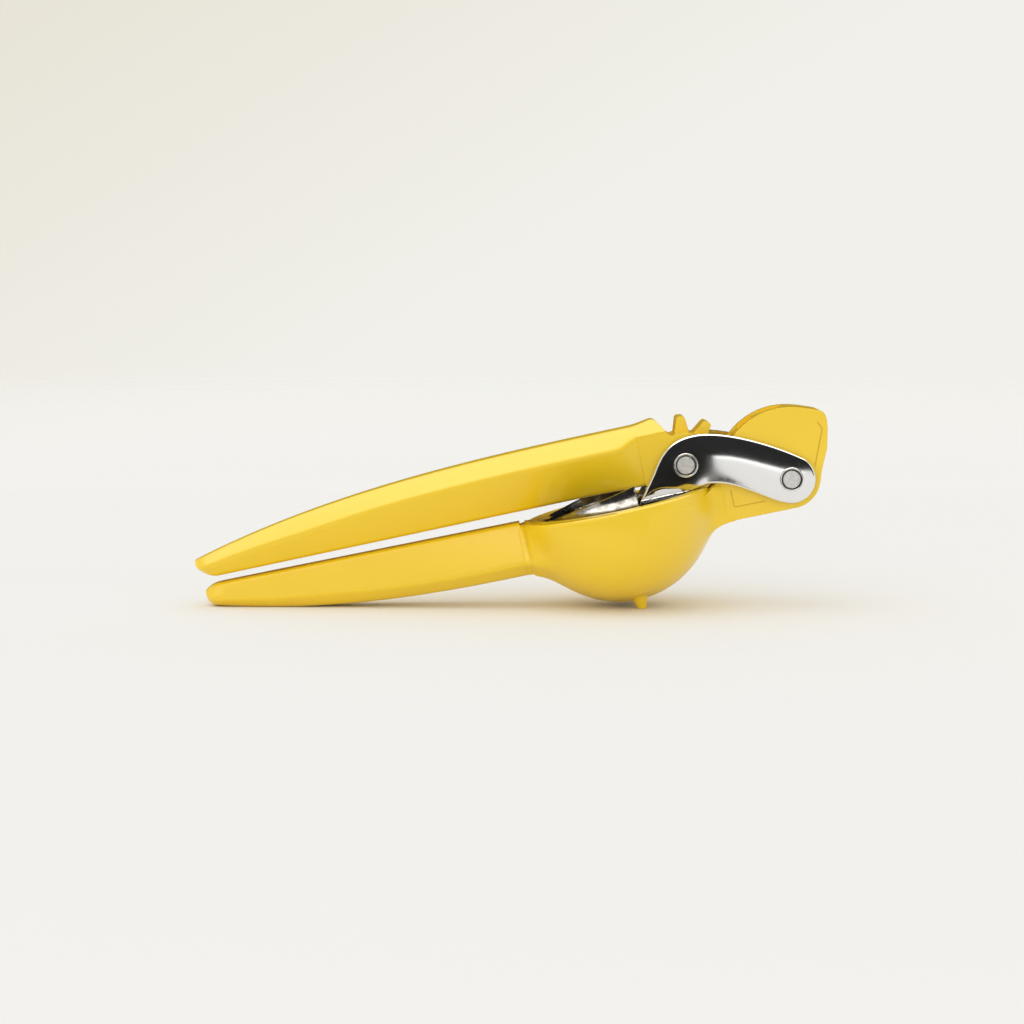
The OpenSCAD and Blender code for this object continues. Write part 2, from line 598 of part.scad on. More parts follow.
link_bite = link_screw_d * 2;
module link_screw_holes(extra, deep) for (s = [-1, 1], x = screw_x)
    translate([x, s * (link_in + link_out) / 2, deck_low]) {
        translate([0, 0, -deep]) cylinder(d = link_head_d + 2 * extra, h = link_head_h + deep, $fn = 32);
        cylinder(d = link_screw_d + 2 * extra, h = cup_flange_t + link_bite + (deep > 0 ? 0.3 : 0), $fn = 32);
    }

// Side view of a link: slanted front edge, crown over the pinion pin, tail round the base pin, waist.
// The upper and the lower half have equally many points, so that strips can close the plate's faces.
function link_outline() = let (
    top = p1 + [5, link_crown_r + 0.3], waist = [bowl_r - 1.8, rim_z + 1.2],
    heel = [sqrt(basket_seat_r * basket_seat_r - link_out * link_out) - 1.6, deck_top],
    upper = concat(
        [link_left],
        bezier(link_left, link_left + [3.4, 5.6], top + [-10.1, 0.1], top, 12),
        bezier(top, top + [10.7, 0.1], p2 + [-4.9, 15.4], p2 + polar(link_end_r, 47), 14),
        arc(p2, link_end_r, 40, -18, 8)),
    lower = concat(
        arc(p2, link_end_r, -25, -94, 10),
        bezier(p2 + polar(link_end_r, -100), p2 + [-9.5, -7.9], p2 + [-19.9, 4.4], waist, 12),
        [for (i = [0:12]) lerp(heel, link_tip, 0.8 * i / 12)]))
    concat([link_tip], upper, lower);

module link_plate() {
    outline = let (o = link_outline(), n = len(o)) [for (i = [0:n - 1]) o[(n - i) % n]];
    edge = [for (a = [0:18:90]) [link_edge * (1 - cos(a)), link_out - link_edge * (1 - sin(a))]];
    rings = concat([[0.3, link_in], [0, link_in + 0.3]], edge);
    rotate([90, 0, 0]) loft([for (e = rings) [for (q = inset(outline, e[0])) [q[0], q[1], e[1]]]], true);
}
module link_piece() difference() {
    link_plate();
    for (p = [p1, p2]) {
        across(p, pin_r + seat_gap, -2 * link_out, 0);
        across(p, pin_r + 0.3, -link_out - 0.01, -link_out + 0.8, pin_r + pin_ring);
    }
    link_screw_holes(seat_gap, 1);
}

module front_link() {
    color(chrome) place() link_piece();
}
module rear_link() {
    color(chrome) place() rear() link_piece();
}
module link_screws() {
    color(steel) place() link_screw_holes(0, 0);
}

module pin(at) {
    across(at, pin_r, -link_out + 0.4, link_out - 0.4);
    for (s = [-1, 1]) translate([at[0], s * (link_out - 0.2), at[1]]) rotate([s * 90, 0, 0])
        cylinder(r1 = pin_r - 0.4, r2 = pin_r, h = 0.4, center = true);
}
module base_pin() {
    color(satin) place() pin(p2);
}
module pinion_pin() {
    color(satin) place() pin(p1);
}

module washer(at) difference() {
    across(at, washer_d / 2, -link_in, -link_in + washer_t);
    across(at, pin_r + seat_gap, -2 * link_in, 0);
}
module front_base_washer() {
    color(acetal) place() washer(p2);
}
module rear_base_washer() {
    color(acetal) place() rear() washer(p2);
}
module front_pinion_washer() {
    color(acetal) place() washer(p1);
}
module rear_pinion_washer() {
    color(acetal) place() rear() washer(p1);
}

// ---- Upper handle ----
module pinion_head() {
    crest = p1 + [-9.2, 19.5];
    color(yellow) place() difference() {
        union() {
            intersection() {
                slab(-half_hinge, half_hinge) polygon(concat(
                    [[upper_seam_x, upper_inner_z], [p1[0], upper_inner_z], p1 + [0, root_r - 1],
                    p1 + polar(root_r - 0.2, 103)],
                    bezier(p1 + polar(root_r + 0.5, 107), p1 + [-4.6, 13.6], p1 + [-5, 14.8], p1 + [-5.8, 15.8], 4),
                    bezier(p1 + [-5.8, 15.8], p1 + [-6.8, 17.2], crest + [1.4, -0.1], crest, 4),
                    bezier(crest, crest + [-1.6, -0.1], [upper_seam_x + 2.5, upper_outer_z + 0.1],
                        [upper_seam_x, upper_outer_z], 4)));
                rotate([90, 0, 90]) linear_extrude(3 * bowl_r) polygon([[-half_hinge, 0], [half_hinge, 0],
                    [half_hinge, head_shoulder], [grip_outer_w / 2, upper_outer_z],
                    [grip_outer_w / 2 - 1.2, upper_outer_z + 1], [1.2 - grip_outer_w / 2, upper_outer_z + 1],
                    [-grip_outer_w / 2, upper_outer_z], [-half_hinge, head_shoulder]]);
            }
            across(p1, root_r, -half_hinge, half_hinge);
            slab(-tooth_w / 2, tooth_w / 2) for (i = [0:teeth - 1])
                translate(p1) rotate(mesh_a - 180 + i * pinion_step) tooth_profile();
            slab(-core_w / 2 + seat_gap, core_w / 2 - seat_gap)
                upper_core(upper_seam_x - tang_len, upper_seam_x + 1, web + tang_gap, upper_inner_z + plate_t + seat_gap);
        }
        across(p1, sleeve_r + seat_gap, -hinge_w, hinge_w);
        upper_screws(0.1, 3);
    }
}
head_shoulder = upper_outer_z - grip_bevel * (half_hinge - grip_outer_w / 2) / (grip_w / 2 - grip_outer_w / 2);

module pinion_sleeve() {
    color(acetal) place() sleeve(p1);
}

module upper_grip() {
    color(yellow) place() difference() {
        loft(upper_rings);
        slab(-core_w / 2, core_w / 2) upper_core(upper_tip_x + core_end, upper_seam_x + 1, web, upper_inner_z - 1);
        upper_screws(seat_gap, 0);
    }
}

module upper_grip_plate() {
    color(yellow) place() translate([upper_tip_x + core_end + seat_gap, -core_w / 2 + seat_gap, upper_inner_z])
        cube([upper_seam_x - upper_tip_x - core_end - 2 * seat_gap, core_w - 2 * seat_gap, plate_t]);
}

module upper_tang_screws() {
    color(steel) place() upper_screws(0, 0);
}

bowl_housing();
strainer_basket();
lower_grip();
lower_grip_plate();
lower_tang_screws();
base_sleeve();
press_cup();
front_link();
rear_link();
link_screws();
base_pin();
pinion_pin();
front_base_washer();
rear_base_washer();
front_pinion_washer();
rear_pinion_washer();
pinion_head();
pinion_sleeve();
upper_grip();
upper_grip_plate();
upper_tang_screws();
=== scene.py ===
"""Dresses the hinged lemon squeezer: paint, chrome, steel, a pale studio and the camera."""
from __future__ import annotations

import json
import logging
import math
from dataclasses import dataclass, field
from enum import Enum
from typing import Iterable, Sequence, Union

import bmesh
import bpy
import numpy as np
from mathutils import Matrix, Vector, geometry


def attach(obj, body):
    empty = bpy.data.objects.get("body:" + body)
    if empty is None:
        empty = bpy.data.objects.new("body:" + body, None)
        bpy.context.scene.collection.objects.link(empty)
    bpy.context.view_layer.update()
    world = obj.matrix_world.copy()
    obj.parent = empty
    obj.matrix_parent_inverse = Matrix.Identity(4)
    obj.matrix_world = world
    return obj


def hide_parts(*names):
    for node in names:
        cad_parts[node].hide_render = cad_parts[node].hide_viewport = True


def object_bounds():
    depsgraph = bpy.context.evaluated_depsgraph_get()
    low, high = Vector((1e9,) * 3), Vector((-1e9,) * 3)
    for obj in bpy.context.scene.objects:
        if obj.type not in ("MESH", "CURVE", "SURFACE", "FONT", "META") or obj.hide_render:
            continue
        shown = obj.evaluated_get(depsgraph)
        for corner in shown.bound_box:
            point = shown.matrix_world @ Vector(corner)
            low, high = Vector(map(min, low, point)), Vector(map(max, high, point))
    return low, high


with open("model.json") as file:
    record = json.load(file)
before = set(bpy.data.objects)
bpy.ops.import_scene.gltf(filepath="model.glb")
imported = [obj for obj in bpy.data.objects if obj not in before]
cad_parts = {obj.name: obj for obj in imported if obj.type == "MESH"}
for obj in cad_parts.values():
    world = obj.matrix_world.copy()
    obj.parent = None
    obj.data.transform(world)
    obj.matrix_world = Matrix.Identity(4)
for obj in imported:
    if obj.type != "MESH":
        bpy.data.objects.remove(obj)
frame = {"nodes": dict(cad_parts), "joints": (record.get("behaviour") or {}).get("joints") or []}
CAD_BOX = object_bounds()
LOG = logging.getLogger("squeezer")
Number = Union[int, float]
Rgb = tuple[float, float, float]
Point2 = tuple[float, float]
Point3 = tuple[float, float, float]
CRISP = 32.0  # an edge that turns more than this many degrees isn't shaded smooth


# ---------------------------------------------------------------- shader helpers
def linear(red: int, green: int, blue: int) -> Rgb:
    """Turns a screen colour (0 to 255) into the linear values that shaders take.

    Args:
        red: Red level.
        green: Green level.
        blue: Blue level.

    Returns:
        The three linear values.
    """
    def one(level: int) -> float:
        """Returns one channel in linear light."""
        c = level / 255
        return c / 12.92 if c <= 0.04045 else ((c + 0.055) / 1.055) ** 2.4
    return one(red), one(green), one(blue)


class Wire:
    """A node's output socket that can be used in ordinary sums and products of values."""

    def __init__(self, graph: Graph, socket: bpy.types.NodeSocket) -> None:
        """Keeps the graph and the socket."""
        self.graph = graph
        self.socket = socket

    def output(self, name: Union[str, int]) -> Wire:
        """Returns another output of the same node."""
        return Wire(self.graph, self.socket.node.outputs[name])

    def _math(self, operation: str, *values: Union[Wire, Number]) -> Wire:
        """Returns the wire of a Math node with these inputs."""
        return self.graph.node("ShaderNodeMath", {"operation": operation}, dict(enumerate(values)))

    def __add__(self, other: Union[Wire, Number]) -> Wire:
        """Returns self + other."""
        return self._math("ADD", self, other)

    def __radd__(self, other: Number) -> Wire:
        """Returns other + self."""
        return self._math("ADD", other, self)

    def __sub__(self, other: Union[Wire, Number]) -> Wire:
        """Returns self - other."""
        return self._math("SUBTRACT", self, other)

    def __rsub__(self, other: Number) -> Wire:
        """Returns other - self."""
        return self._math("SUBTRACT", other, self)

    def __mul__(self, other: Union[Wire, Number]) -> Wire:
        """Returns self * other."""
        return self._math("MULTIPLY", self, other)

    def __rmul__(self, other: Number) -> Wire:
        """Returns other * self."""
        return self._math("MULTIPLY", other, self)

    def __truediv__(self, other: Union[Wire, Number]) -> Wire:
        """Returns self / other."""
        return self._math("DIVIDE", self, other)

    def __rtruediv__(self, other: Number) -> Wire:
        """Returns other / self."""
        return self._math("DIVIDE", other, self)

    def __abs__(self) -> Wire:
        """Returns the value without its sign."""
        return self._math("ABSOLUTE", self)

    def clamped(self, low: float, high: float) -> Wire:
        """Returns the value held between low and high."""
        return self._math("MINIMUM", self._math("MAXIMUM", self, low), high)


Feed = Union[Wire, Number, Sequence[float]]
Feeds = dict[Union[str, int], Feed]


@dataclass(frozen=True)
class Clouds:
    """A cloudy pattern: clouds per metre, layers of finer clouds, and the strength of those."""

    per_m: float
    layers: float = 2.0
    strength: float = 0.5


class Graph:
    """Builds one node tree."""

    def __init__(self, tree: bpy.types.NodeTree) -> None:
        """Empties the tree and keeps it."""
        tree.nodes.clear()
        self.tree = tree

    def add(self, kind: str, settings: dict[str, object], feeds: Feeds) -> bpy.types.Node:
        """Adds one node.

        Args:
            kind: The node's type.
            settings: Properties, which are set first.
            feeds: Values or wires for its inputs, by name or number.

        Returns:
            The node.
        """
        made = self.tree.nodes.new(kind)
        for name, value in settings.items():
            setattr(made, name, value)
        for key, value in feeds.items():
            socket = made.inputs[key]
            if isinstance(value, Wire):
                self.tree.links.new(value.socket, socket)
            else:
                socket.default_value = value
        return made

    def node(self, kind: str, settings: dict[str, object], feeds: Feeds,
             out: Union[str, int] = 0) -> Wire:
        """Adds one node, as add does, and returns the wire of the output that is wanted."""
        return Wire(self, self.add(kind, settings, feeds).outputs[out])

    def principled(self, feeds: Feeds) -> Wire:
        """Returns the wire of a Principled shader."""
        return self.node("ShaderNodeBsdfPrincipled", {}, feeds)

    def mix_colour(self, share: Feed, first: Feed, second: Feed) -> Wire:
        """Returns first blended to second by a share."""
        a, b = (c if isinstance(c, Wire) else (*c, 1.0) for c in (first, second))
        return self.node("ShaderNodeMix", {"data_type": "RGBA"}, {0: share, 6: a, 7: b}, 2)

    def place(self) -> Wire:
        """Returns the point on the object, in metres."""
        return self.node("ShaderNodeTexCoord", {}, {}, "Object")

    def measured(self, axis: int, start: float) -> Wire:
        """Measures the point on the object in the tool's own plane.

        Args:
            axis: 0 for along the grips, 2 for the height off the rim.
            start: Where the measure is zero, in millimetres.

        Returns:
            The wire of the distance from start, in millimetres.
        """
        back = TOOL.back()
        feeds = {0: self.place(), 1: tuple(back.to_3x3()[axis])}
        dot = self.node("ShaderNodeVectorMath", {"operation": "DOT_PRODUCT"}, feeds, "Value")
        return dot + (back.translation[axis] - start)

    def noise(self, clouds: Clouds, where: Wire | None = None) -> Wire:
        """Returns a cloudy value from 0 to 1, read at where or at the object's own point."""
        return self.node("ShaderNodeTexNoise", {}, {
            "Vector": where or self.place(), "Scale": clouds.per_m, "Detail": clouds.layers,
            "Roughness": clouds.strength})

    def bump(self, height: Feed, distance: float, strength: float,
             normal: Wire | None = None) -> Wire:
        """Roughens the surface normal.

        Args:
            height: The height, from 0 to 1.
            distance: What a height of 1 stands for, in metres.
            strength: How much of it shows.
            normal: The normal that it starts from, or the surface's own.

        Returns:
            The wire of the normal.
        """
        feeds: Feeds = {"Height": height, "Distance": distance, "Strength": strength}
        if normal is not None:
            feeds["Normal"] = normal
        return self.node("ShaderNodeBump", {}, feeds)

    def finish(self, shader: Wire, kind: str = "ShaderNodeOutputMaterial") -> None:
        """Joins a shader to the tree's output."""
        self.add(kind, {}, {"Surface": shader})


# ---------------------------------------------------------------- finishes
@dataclass(frozen=True)
class Finish:
    """A surface finish; each kind builds its own material."""

    name: str

    def material(self) -> bpy.types.Material:
        """Builds the finish's material, once.

        Returns:
            The material.
        """
        found = bpy.data.materials.get(self.name)
        if found:
            return found
        made = bpy.data.materials.new(self.name)
        made.use_nodes = True
        graph = Graph(made.node_tree)
        graph.finish(self.shader(graph))
        return made

    def shader(self, graph: Graph) -> Wire:
        """Builds the finish's nodes.

        Args:
            graph: The material's graph.

        Returns:
            The wire of the shader.
        """
        raise NotImplementedError

    def dress(self, thing: bpy.types.Object) -> None:
        """Gives the finish to all of an object.

        Args:
            thing: The object.
        """
        material = self.material()
        if not thing.material_slots:
            thing.data.materials.append(material)
        for slot in thing.material_slots:
            slot.material = material


@dataclass(frozen=True)
class YellowEnamel(Finish):
    """Baked satin enamel on a casting, with a faint orange peel.

    With edge_m, in metres, it rounds the edges it runs over, apart from those of the seam at
    seam_x, in the tool's millimetres.
    """

    body: Rgb = linear(242, 201, 3)
    pale: Rgb = linear(245, 206, 8)
    shades: Clouds = Clouds(38, 3, 0.55)
    peel: Clouds = Clouds(1500)
    grain: Clouds = Clouds(5200, 1)
    peel_m: float = 0.00004
    rough: float = 0.32
    coat: float = 0.75
    coat_rough: float = 0.3
    edge_m: float = 0.0
    seam_x: float = 0.0
    seam_half: float = 0.9

    def edge(self, graph: Graph) -> Wire:
        """Returns the normal with softened edges, which stay flat along the seam."""
        away = abs(graph.measured(0, self.seam_x)) - self.seam_half
        radius = (away * 2).clamped(0, 1) * self.edge_m
        return graph.node("ShaderNodeBevel", {"samples": 6}, {"Radius": radius})

    def shader(self, graph: Graph) -> Wire:
        """Builds the enamel's nodes.

        Args:
            graph: The material's graph.

        Returns:
            The wire of the shader.
        """
        shades, grain = graph.noise(self.shades), graph.noise(self.grain)
        fade = (shades * 1.6 - 0.3).clamped(0, 1)
        relief = graph.noise(self.peel) * 0.8 + grain * 0.2
        edge = self.edge(graph) if self.edge_m else None
        return graph.principled({
            "Base Color": graph.mix_colour(fade, self.body, self.pale),
            "Roughness": self.rough + shades * 0.06 + grain * 0.04,
            "Normal": graph.bump(relief, self.peel_m, strength=0.35, normal=edge),
            "IOR": 1.5, "Coat Weight": self.coat, "Coat Roughness": self.coat_rough,
            "Specular IOR Level": 0.5})


@dataclass(frozen=True)
class BrightChrome(Finish):
    """Polished chrome plating with the faintest waviness.

    With rough_from, a height in the tool's millimetres, the plating is smooth below it and rough
    and wavy above it, where it takes a darker tint, which is painted shade, patched with a still
    darker colour, which paints dark reflections.
    """

    clean: Rgb = (0.93, 0.93, 0.93)
    # the patch colour: a slightly duller tone on plain chrome, painted dark reflections on the
    # cup's collar
    dull_and_dark_reflection: Rgb = (0.88, 0.88, 0.88)
    tint: Rgb = (0.88, 0.88, 0.88)
    patches: Clouds = Clouds(900, 3, 0.6)
    gloss: float = 0.01
    haze: float = 0.05
    waves: Clouds = Clouds(140)
    wave: float = 0.12
    wave_m: float = 0.0002
    smooth_wave: float = 0.1
    rough: float = 0.16
    rough_from: float | None = None

    def shader(self, graph: Graph) -> Wire:
        """Builds the chrome's nodes.

        Args:
            graph: The material's graph.

        Returns:
            The wire of the shader.
        """
        wave, haze = graph.noise(self.waves), graph.noise(self.patches)
        patch = (haze * 3 - 1).clamped(0, 1)
        rough = self.gloss + (haze - 0.5).clamped(0, 1) * self.haze
        if self.rough_from is None:
            colour = graph.mix_colour(patch, self.clean, self.dull_and_dark_reflection)
        else:
            above = (graph.measured(2, self.rough_from) * 2).clamped(0, 1)
            colour = graph.mix_colour(above, self.clean,
                                      graph.mix_colour(patch, self.tint, self.dull_and_dark_reflection))
            rough = rough + self.rough * above
            wave = wave * (above * (1 - self.smooth_wave) + self.smooth_wave)
        return graph.principled({"Base Color": colour, "Metallic": 1.0, "Roughness": rough,
                                 "Normal": graph.bump(wave, self.wave_m, self.wave)})


@dataclass(frozen=True)
class BrightSheet(Finish):
    """Pressed stainless sheet, bright with drawing marks."""

    dark: Rgb = (0.60, 0.59, 0.57)
    light: Rgb = (0.74, 0.73, 0.71)
    marks: Clouds = Clouds(420, 4, 0.6)
    dents: Clouds = Clouds(90)
    stretch: Point3 = (1.0, 1.0, 6.0)
    dent_m: float = 0.0002

    def shader(self, graph: Graph) -> Wire:
        """Builds the sheet's nodes.

        Args:
            graph: The material's graph.

        Returns:
            The wire of the shader.
        """
        feeds = {"Vector": graph.place(), "Scale": self.stretch}
        where = graph.node("ShaderNodeMapping", {}, feeds)
        marks, dents = graph.noise(self.marks, where), graph.noise(self.dents)
        return graph.principled({
            "Base Color": graph.mix_colour(marks, self.dark, self.light), "Metallic": 1.0,
            "Roughness": 0.16 + marks * 0.14,
            "Normal": graph.bump(dents * 0.7 + marks * 0.3, self.dent_m, strength=0.2)})


@dataclass(frozen=True)
class GroundSteel(Finish):
    """Pin ends ground flat and left satin, lightly mottled."""

    dark: Rgb = (0.58, 0.57, 0.55)
    light: Rgb = (0.84, 0.83, 0.80)
    blotches: Clouds = Clouds(620, 4, 0.65)
    scratches: Clouds = Clouds(4200, 3, 0.6)
    scratch_m: float = 0.00006

    def shader(self, graph: Graph) -> Wire:
        """Builds the ground steel's nodes.

        Args:
            graph: The material's graph.

        Returns:
            The wire of the shader.
        """
        blotch, fine = graph.noise(self.blotches), graph.noise(self.scratches)
        return graph.principled({
            "Base Color": graph.mix_colour((blotch * 2 - 0.5).clamped(0, 1), self.dark, self.light),
            "Metallic": 0.55, "Roughness": 0.4 + fine * 0.2,
            "Normal": graph.bump(fine * 0.6 + blotch * 0.4, self.scratch_m, strength=0.5)})


@dataclass(frozen=True)
class WhitePolymer(Finish):
    """Smooth bearing plastic."""

    dark: Rgb = (0.72, 0.72, 0.70)
    light: Rgb = (0.80, 0.80, 0.78)
    grain: Clouds = Clouds(2600)
    grain_m: float = 0.00003

    def shader(self, graph: Graph) -> Wire:
        """Builds the plastic's nodes.

        Args:
            graph: The material's graph.

        Returns:
            The wire of the shader.
        """
        grain = graph.noise(self.grain)
        return graph.principled({
            "Base Color": graph.mix_colour(grain, self.dark, self.light),
            "Roughness": 0.42 + grain * 0.1,
            "Normal": graph.bump(grain, self.grain_m, strength=0.3)})


@dataclass(frozen=True)
class MattPaper(Finish):
    """Matt paper, a little uneven, that fades into the surround far away (in metres)."""

    colour: Rgb = linear(243, 242, 238)
    uneven: float = 0.985
    tones: Clouds = Clouds(2.2, 3)
    fibres: Clouds = Clouds(900)
    fibre_m: float = 0.00005
    fade_from: float = 0.6
    fade_to: float = 2.6

    def shader(self, graph: Graph) -> Wire:
        """Builds the paper's nodes.

        Args:
            graph: The material's graph.

        Returns:
            The wire of the shader.
        """
        tone = graph.noise(self.tones)
        tint = graph.mix_colour(tone, self.colour, tuple(c * self.uneven for c in self.colour))
        far = graph.node("ShaderNodeVectorMath", {"operation": "LENGTH"}, {0: graph.place()},
                         "Value")
        near = 1 - ((far - self.fade_from) / (self.fade_to - self.fade_from)).clamped(0, 1)
        return graph.principled({
            "Base Color": tint, "Roughness": 0.85 + tone * 0.1, "Specular IOR Level": 0.15,
            "Alpha": near * near * (3 - 2 * near),
            "Normal": graph.bump(graph.noise(self.fibres), self.fibre_m, strength=0.15)})


@dataclass(frozen=True)
class BlackCloth(Finish):
    """Black flag cloth."""

    dark: Rgb = (0.006, 0.006, 0.006)
    light: Rgb = (0.01, 0.01, 0.01)
    weave: Clouds = Clouds(60)

    def shader(self, graph: Graph) -> Wire:
        """Builds the cloth's nodes.

        Args:
            graph: The material's graph.

        Returns:
            The wire of the shader.
        """
        return graph.principled({
            "Base Color": graph.mix_colour(graph.noise(self.weave), self.dark, self.light),
            "Roughness": 1.0, "Specular IOR Level": 0.0})


class Coats(Enum):
    """The finishes of the tool and of the studio round it."""

    PAINT = YellowEnamel("yellow_enamel")
    PAINT_HEAD = YellowEnamel("yellow_enamel_head", edge_m=0.0006, seam_x=11.99)
    PAINT_HOUSING = YellowEnamel("yellow_enamel_housing", edge_m=0.0004, seam_x=-39.0)
    CHROME = BrightChrome("bright_chrome")
    # the collar's darker tint is painted shade, and its near-black patches are painted dark
    # reflections
    CUP = BrightChrome("bright_chrome_cup", clean=(0.86, 0.86, 0.85), tint=(0.50, 0.49, 0.48),
                       dull_and_dark_reflection=(0.17, 0.16, 0.15), patches=Clouds(260, 3, 0.6), haze=0.3, wave=0.9,
                       rough_from=1.3)
    # near-black steel on the bores' walls: painted shade in the gap round each pin
    BORE = GroundSteel("bore_painted_shade", light=(0.05, 0.05, 0.05), dark=(0.02, 0.02, 0.02))
    SHEET = BrightSheet("bright_sheet")
    PIN = GroundSteel("ground_steel")
    POLYMER = WhitePolymer("white_polymer")
    TABLE = MattPaper("pale_paper")
    WHITE_CARD = MattPaper("white_card")
    BLACK_CARD = BlackCloth("black_card")


# ---------------------------------------------------------------- the tool's own plane
@dataclass(frozen=True)
class ToolPlane:
    """Maps the tool's own millimetres (x along the grips, z off the rim) to the model's metres."""

    base_pin: Point2 = (66.9, -2.0)
    reach: float = 41.0
    rise: float = 13.8

    @property
    def pinion_pin(self) -> Point2:
        """The pinion pin's place in the tool's plane."""
        run = math.sqrt(self.reach ** 2 - self.rise ** 2)
        return self.base_pin[0] - run, self.base_pin[1] + self.rise

    def matrix(self) -> Matrix:
        """Works the map out from where the two hinges lie.

        Returns:
            The map from tool millimetres to model metres.
        """
        places = {joint["name"]: Vector(joint["pos_m"]) for joint in frame["joints"]}
        far, near = places["press_hinge"], places["handle_hinge"]
        own = Vector((self.pinion_pin[0] - self.base_pin[0], 0, self.rise))
        there = near - far
        turn = math.atan2(own.z, own.x) - math.atan2(there.z, there.x)
        return (Matrix.Translation(far) @ Matrix.Rotation(turn, 4, "Y") @ Matrix.Scale(0.001, 4)
                @ Matrix.Translation((-self.base_pin[0], 0, -self.base_pin[1])))

    def back(self) -> Matrix:
        """Returns the map from model metres to tool millimetres."""
        return self.matrix().inverted()


TOOL = ToolPlane()


def polar(centre: Point2, radius: float, degrees: float) -> Point2:
    """Returns the point at an angle on a circle."""
    a = math.radians(degrees)
    return centre[0] + radius * math.cos(a), centre[1] + radius * math.sin(a)


def arc(centre: Point2, radius: float, start: float, end: float, steps: int) -> list[Point2]:
    """Returns points along an arc, ends included."""
    return [polar(centre, radius, start + (end - start) * i / steps) for i in range(steps + 1)]


def bezier(a: Point2, b: Point2, c: Point2, d: Point2, steps: int) -> list[Point2]:
    """Draws a cubic curve.

    Args:
        a: Its start.
        b: The first handle.
        c: The second handle.
        d: Its end.
        steps: How many points it gets.

    Returns:
        The points along it, without its start.
    """
    out: list[Point2] = []
    for i in range(1, steps + 1):
        t = i / steps
        s = 1 - t
        w = (s ** 3, 3 * s * s * t, 3 * s * t * t, t ** 3)
        x, z = (sum(k * p[n] for k, p in zip(w, (a, b, c, d))) for n in (0, 1))
        out.append((x, z))
    return out


def shifted(p: Point2, dx: float, dz: float) -> Point2:
    """Returns a point moved by dx and dz."""
    return p[0] + dx, p[1] + dz


def ease(t: float) -> float:
    """Returns t eased in and out between 0 and 1."""
    c = max(0.0, min(1.0, t))
    return c * c * (3 - 2 * c)


def rounded(s: float, r: float) -> float:
    """Returns the share of the full width at a distance s from an end rounded over r."""
    return 1.0 if s >= r else math.sqrt(max(0.0, 1 - (1 - s / r) ** 2))


def bend(s: float, r: float) -> float:
    """Returns how far a corner of radius r has turned away at a distance s from the end."""
    return 0.0 if s >= r else r - math.sqrt(r * r - (r - s) ** 2)


# ---------------------------------------------------------------- meshes and pieces
def placed(name: str, data: bpy.types.ID) -> bpy.types.Object:
    """Puts a mesh, lamp or camera in the scene.

    Args:
        name: The object's name.
        data: What it shows.

    Returns:
        The new object.
    """
    thing = bpy.data.objects.new(name, data)
    bpy.context.scene.collection.objects.link(thing)
    return thing


def shade(mesh: bpy.types.Mesh, crisp: float = CRISP) -> None:
    """Shades a mesh smooth, apart from edges that turn more than crisp degrees."""
    mesh.shade_smooth()
    mesh.set_sharp_from_angle(angle=math.radians(crisp))


def solid_copy(node: str) -> bpy.types.Mesh:
    """Copies a node's mesh, which itself stays as it is.

    Args:
        node: The node's name.

    Returns:
        The copy, in the tool's own millimetres.
    """
    mesh = frame["nodes"][node].data.copy()
    mesh.transform(TOOL.back())
    return mesh


def settle(thing: bpy.types.Object, coat: Coats, body: str,
           node: str = "") -> bpy.types.Object:
    """Dresses a new piece, hangs it on the body that it moves with and hides the node that it
    replaces.

    Args:
        thing: The piece.
        coat: Its finish.
        body: The body that it rides on.
        node: The node that it replaces, if any.

    Returns:
        The piece.
    """
    coat.value.dress(thing)
    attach(thing, body)
    if node:
        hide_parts(node)
    return thing


def carve(thing: bpy.types.Object, cutter: bpy.types.Object) -> None:
    """Cuts one object out of another and removes the cutter.

    Args:
        thing: The object that is cut.
        cutter: The object that is cut out of it.
    """
    bpy.context.view_layer.objects.active = thing
    change = thing.modifiers.new("cut", "BOOLEAN")
    change.operation = "DIFFERENCE"
    change.solver = "EXACT"
    change.object = cutter
    with bpy.context.temp_override(object=thing, active_object=thing):
        bpy.ops.object.modifier_apply(modifier=change.name)
    bpy.data.objects.remove(cutter)


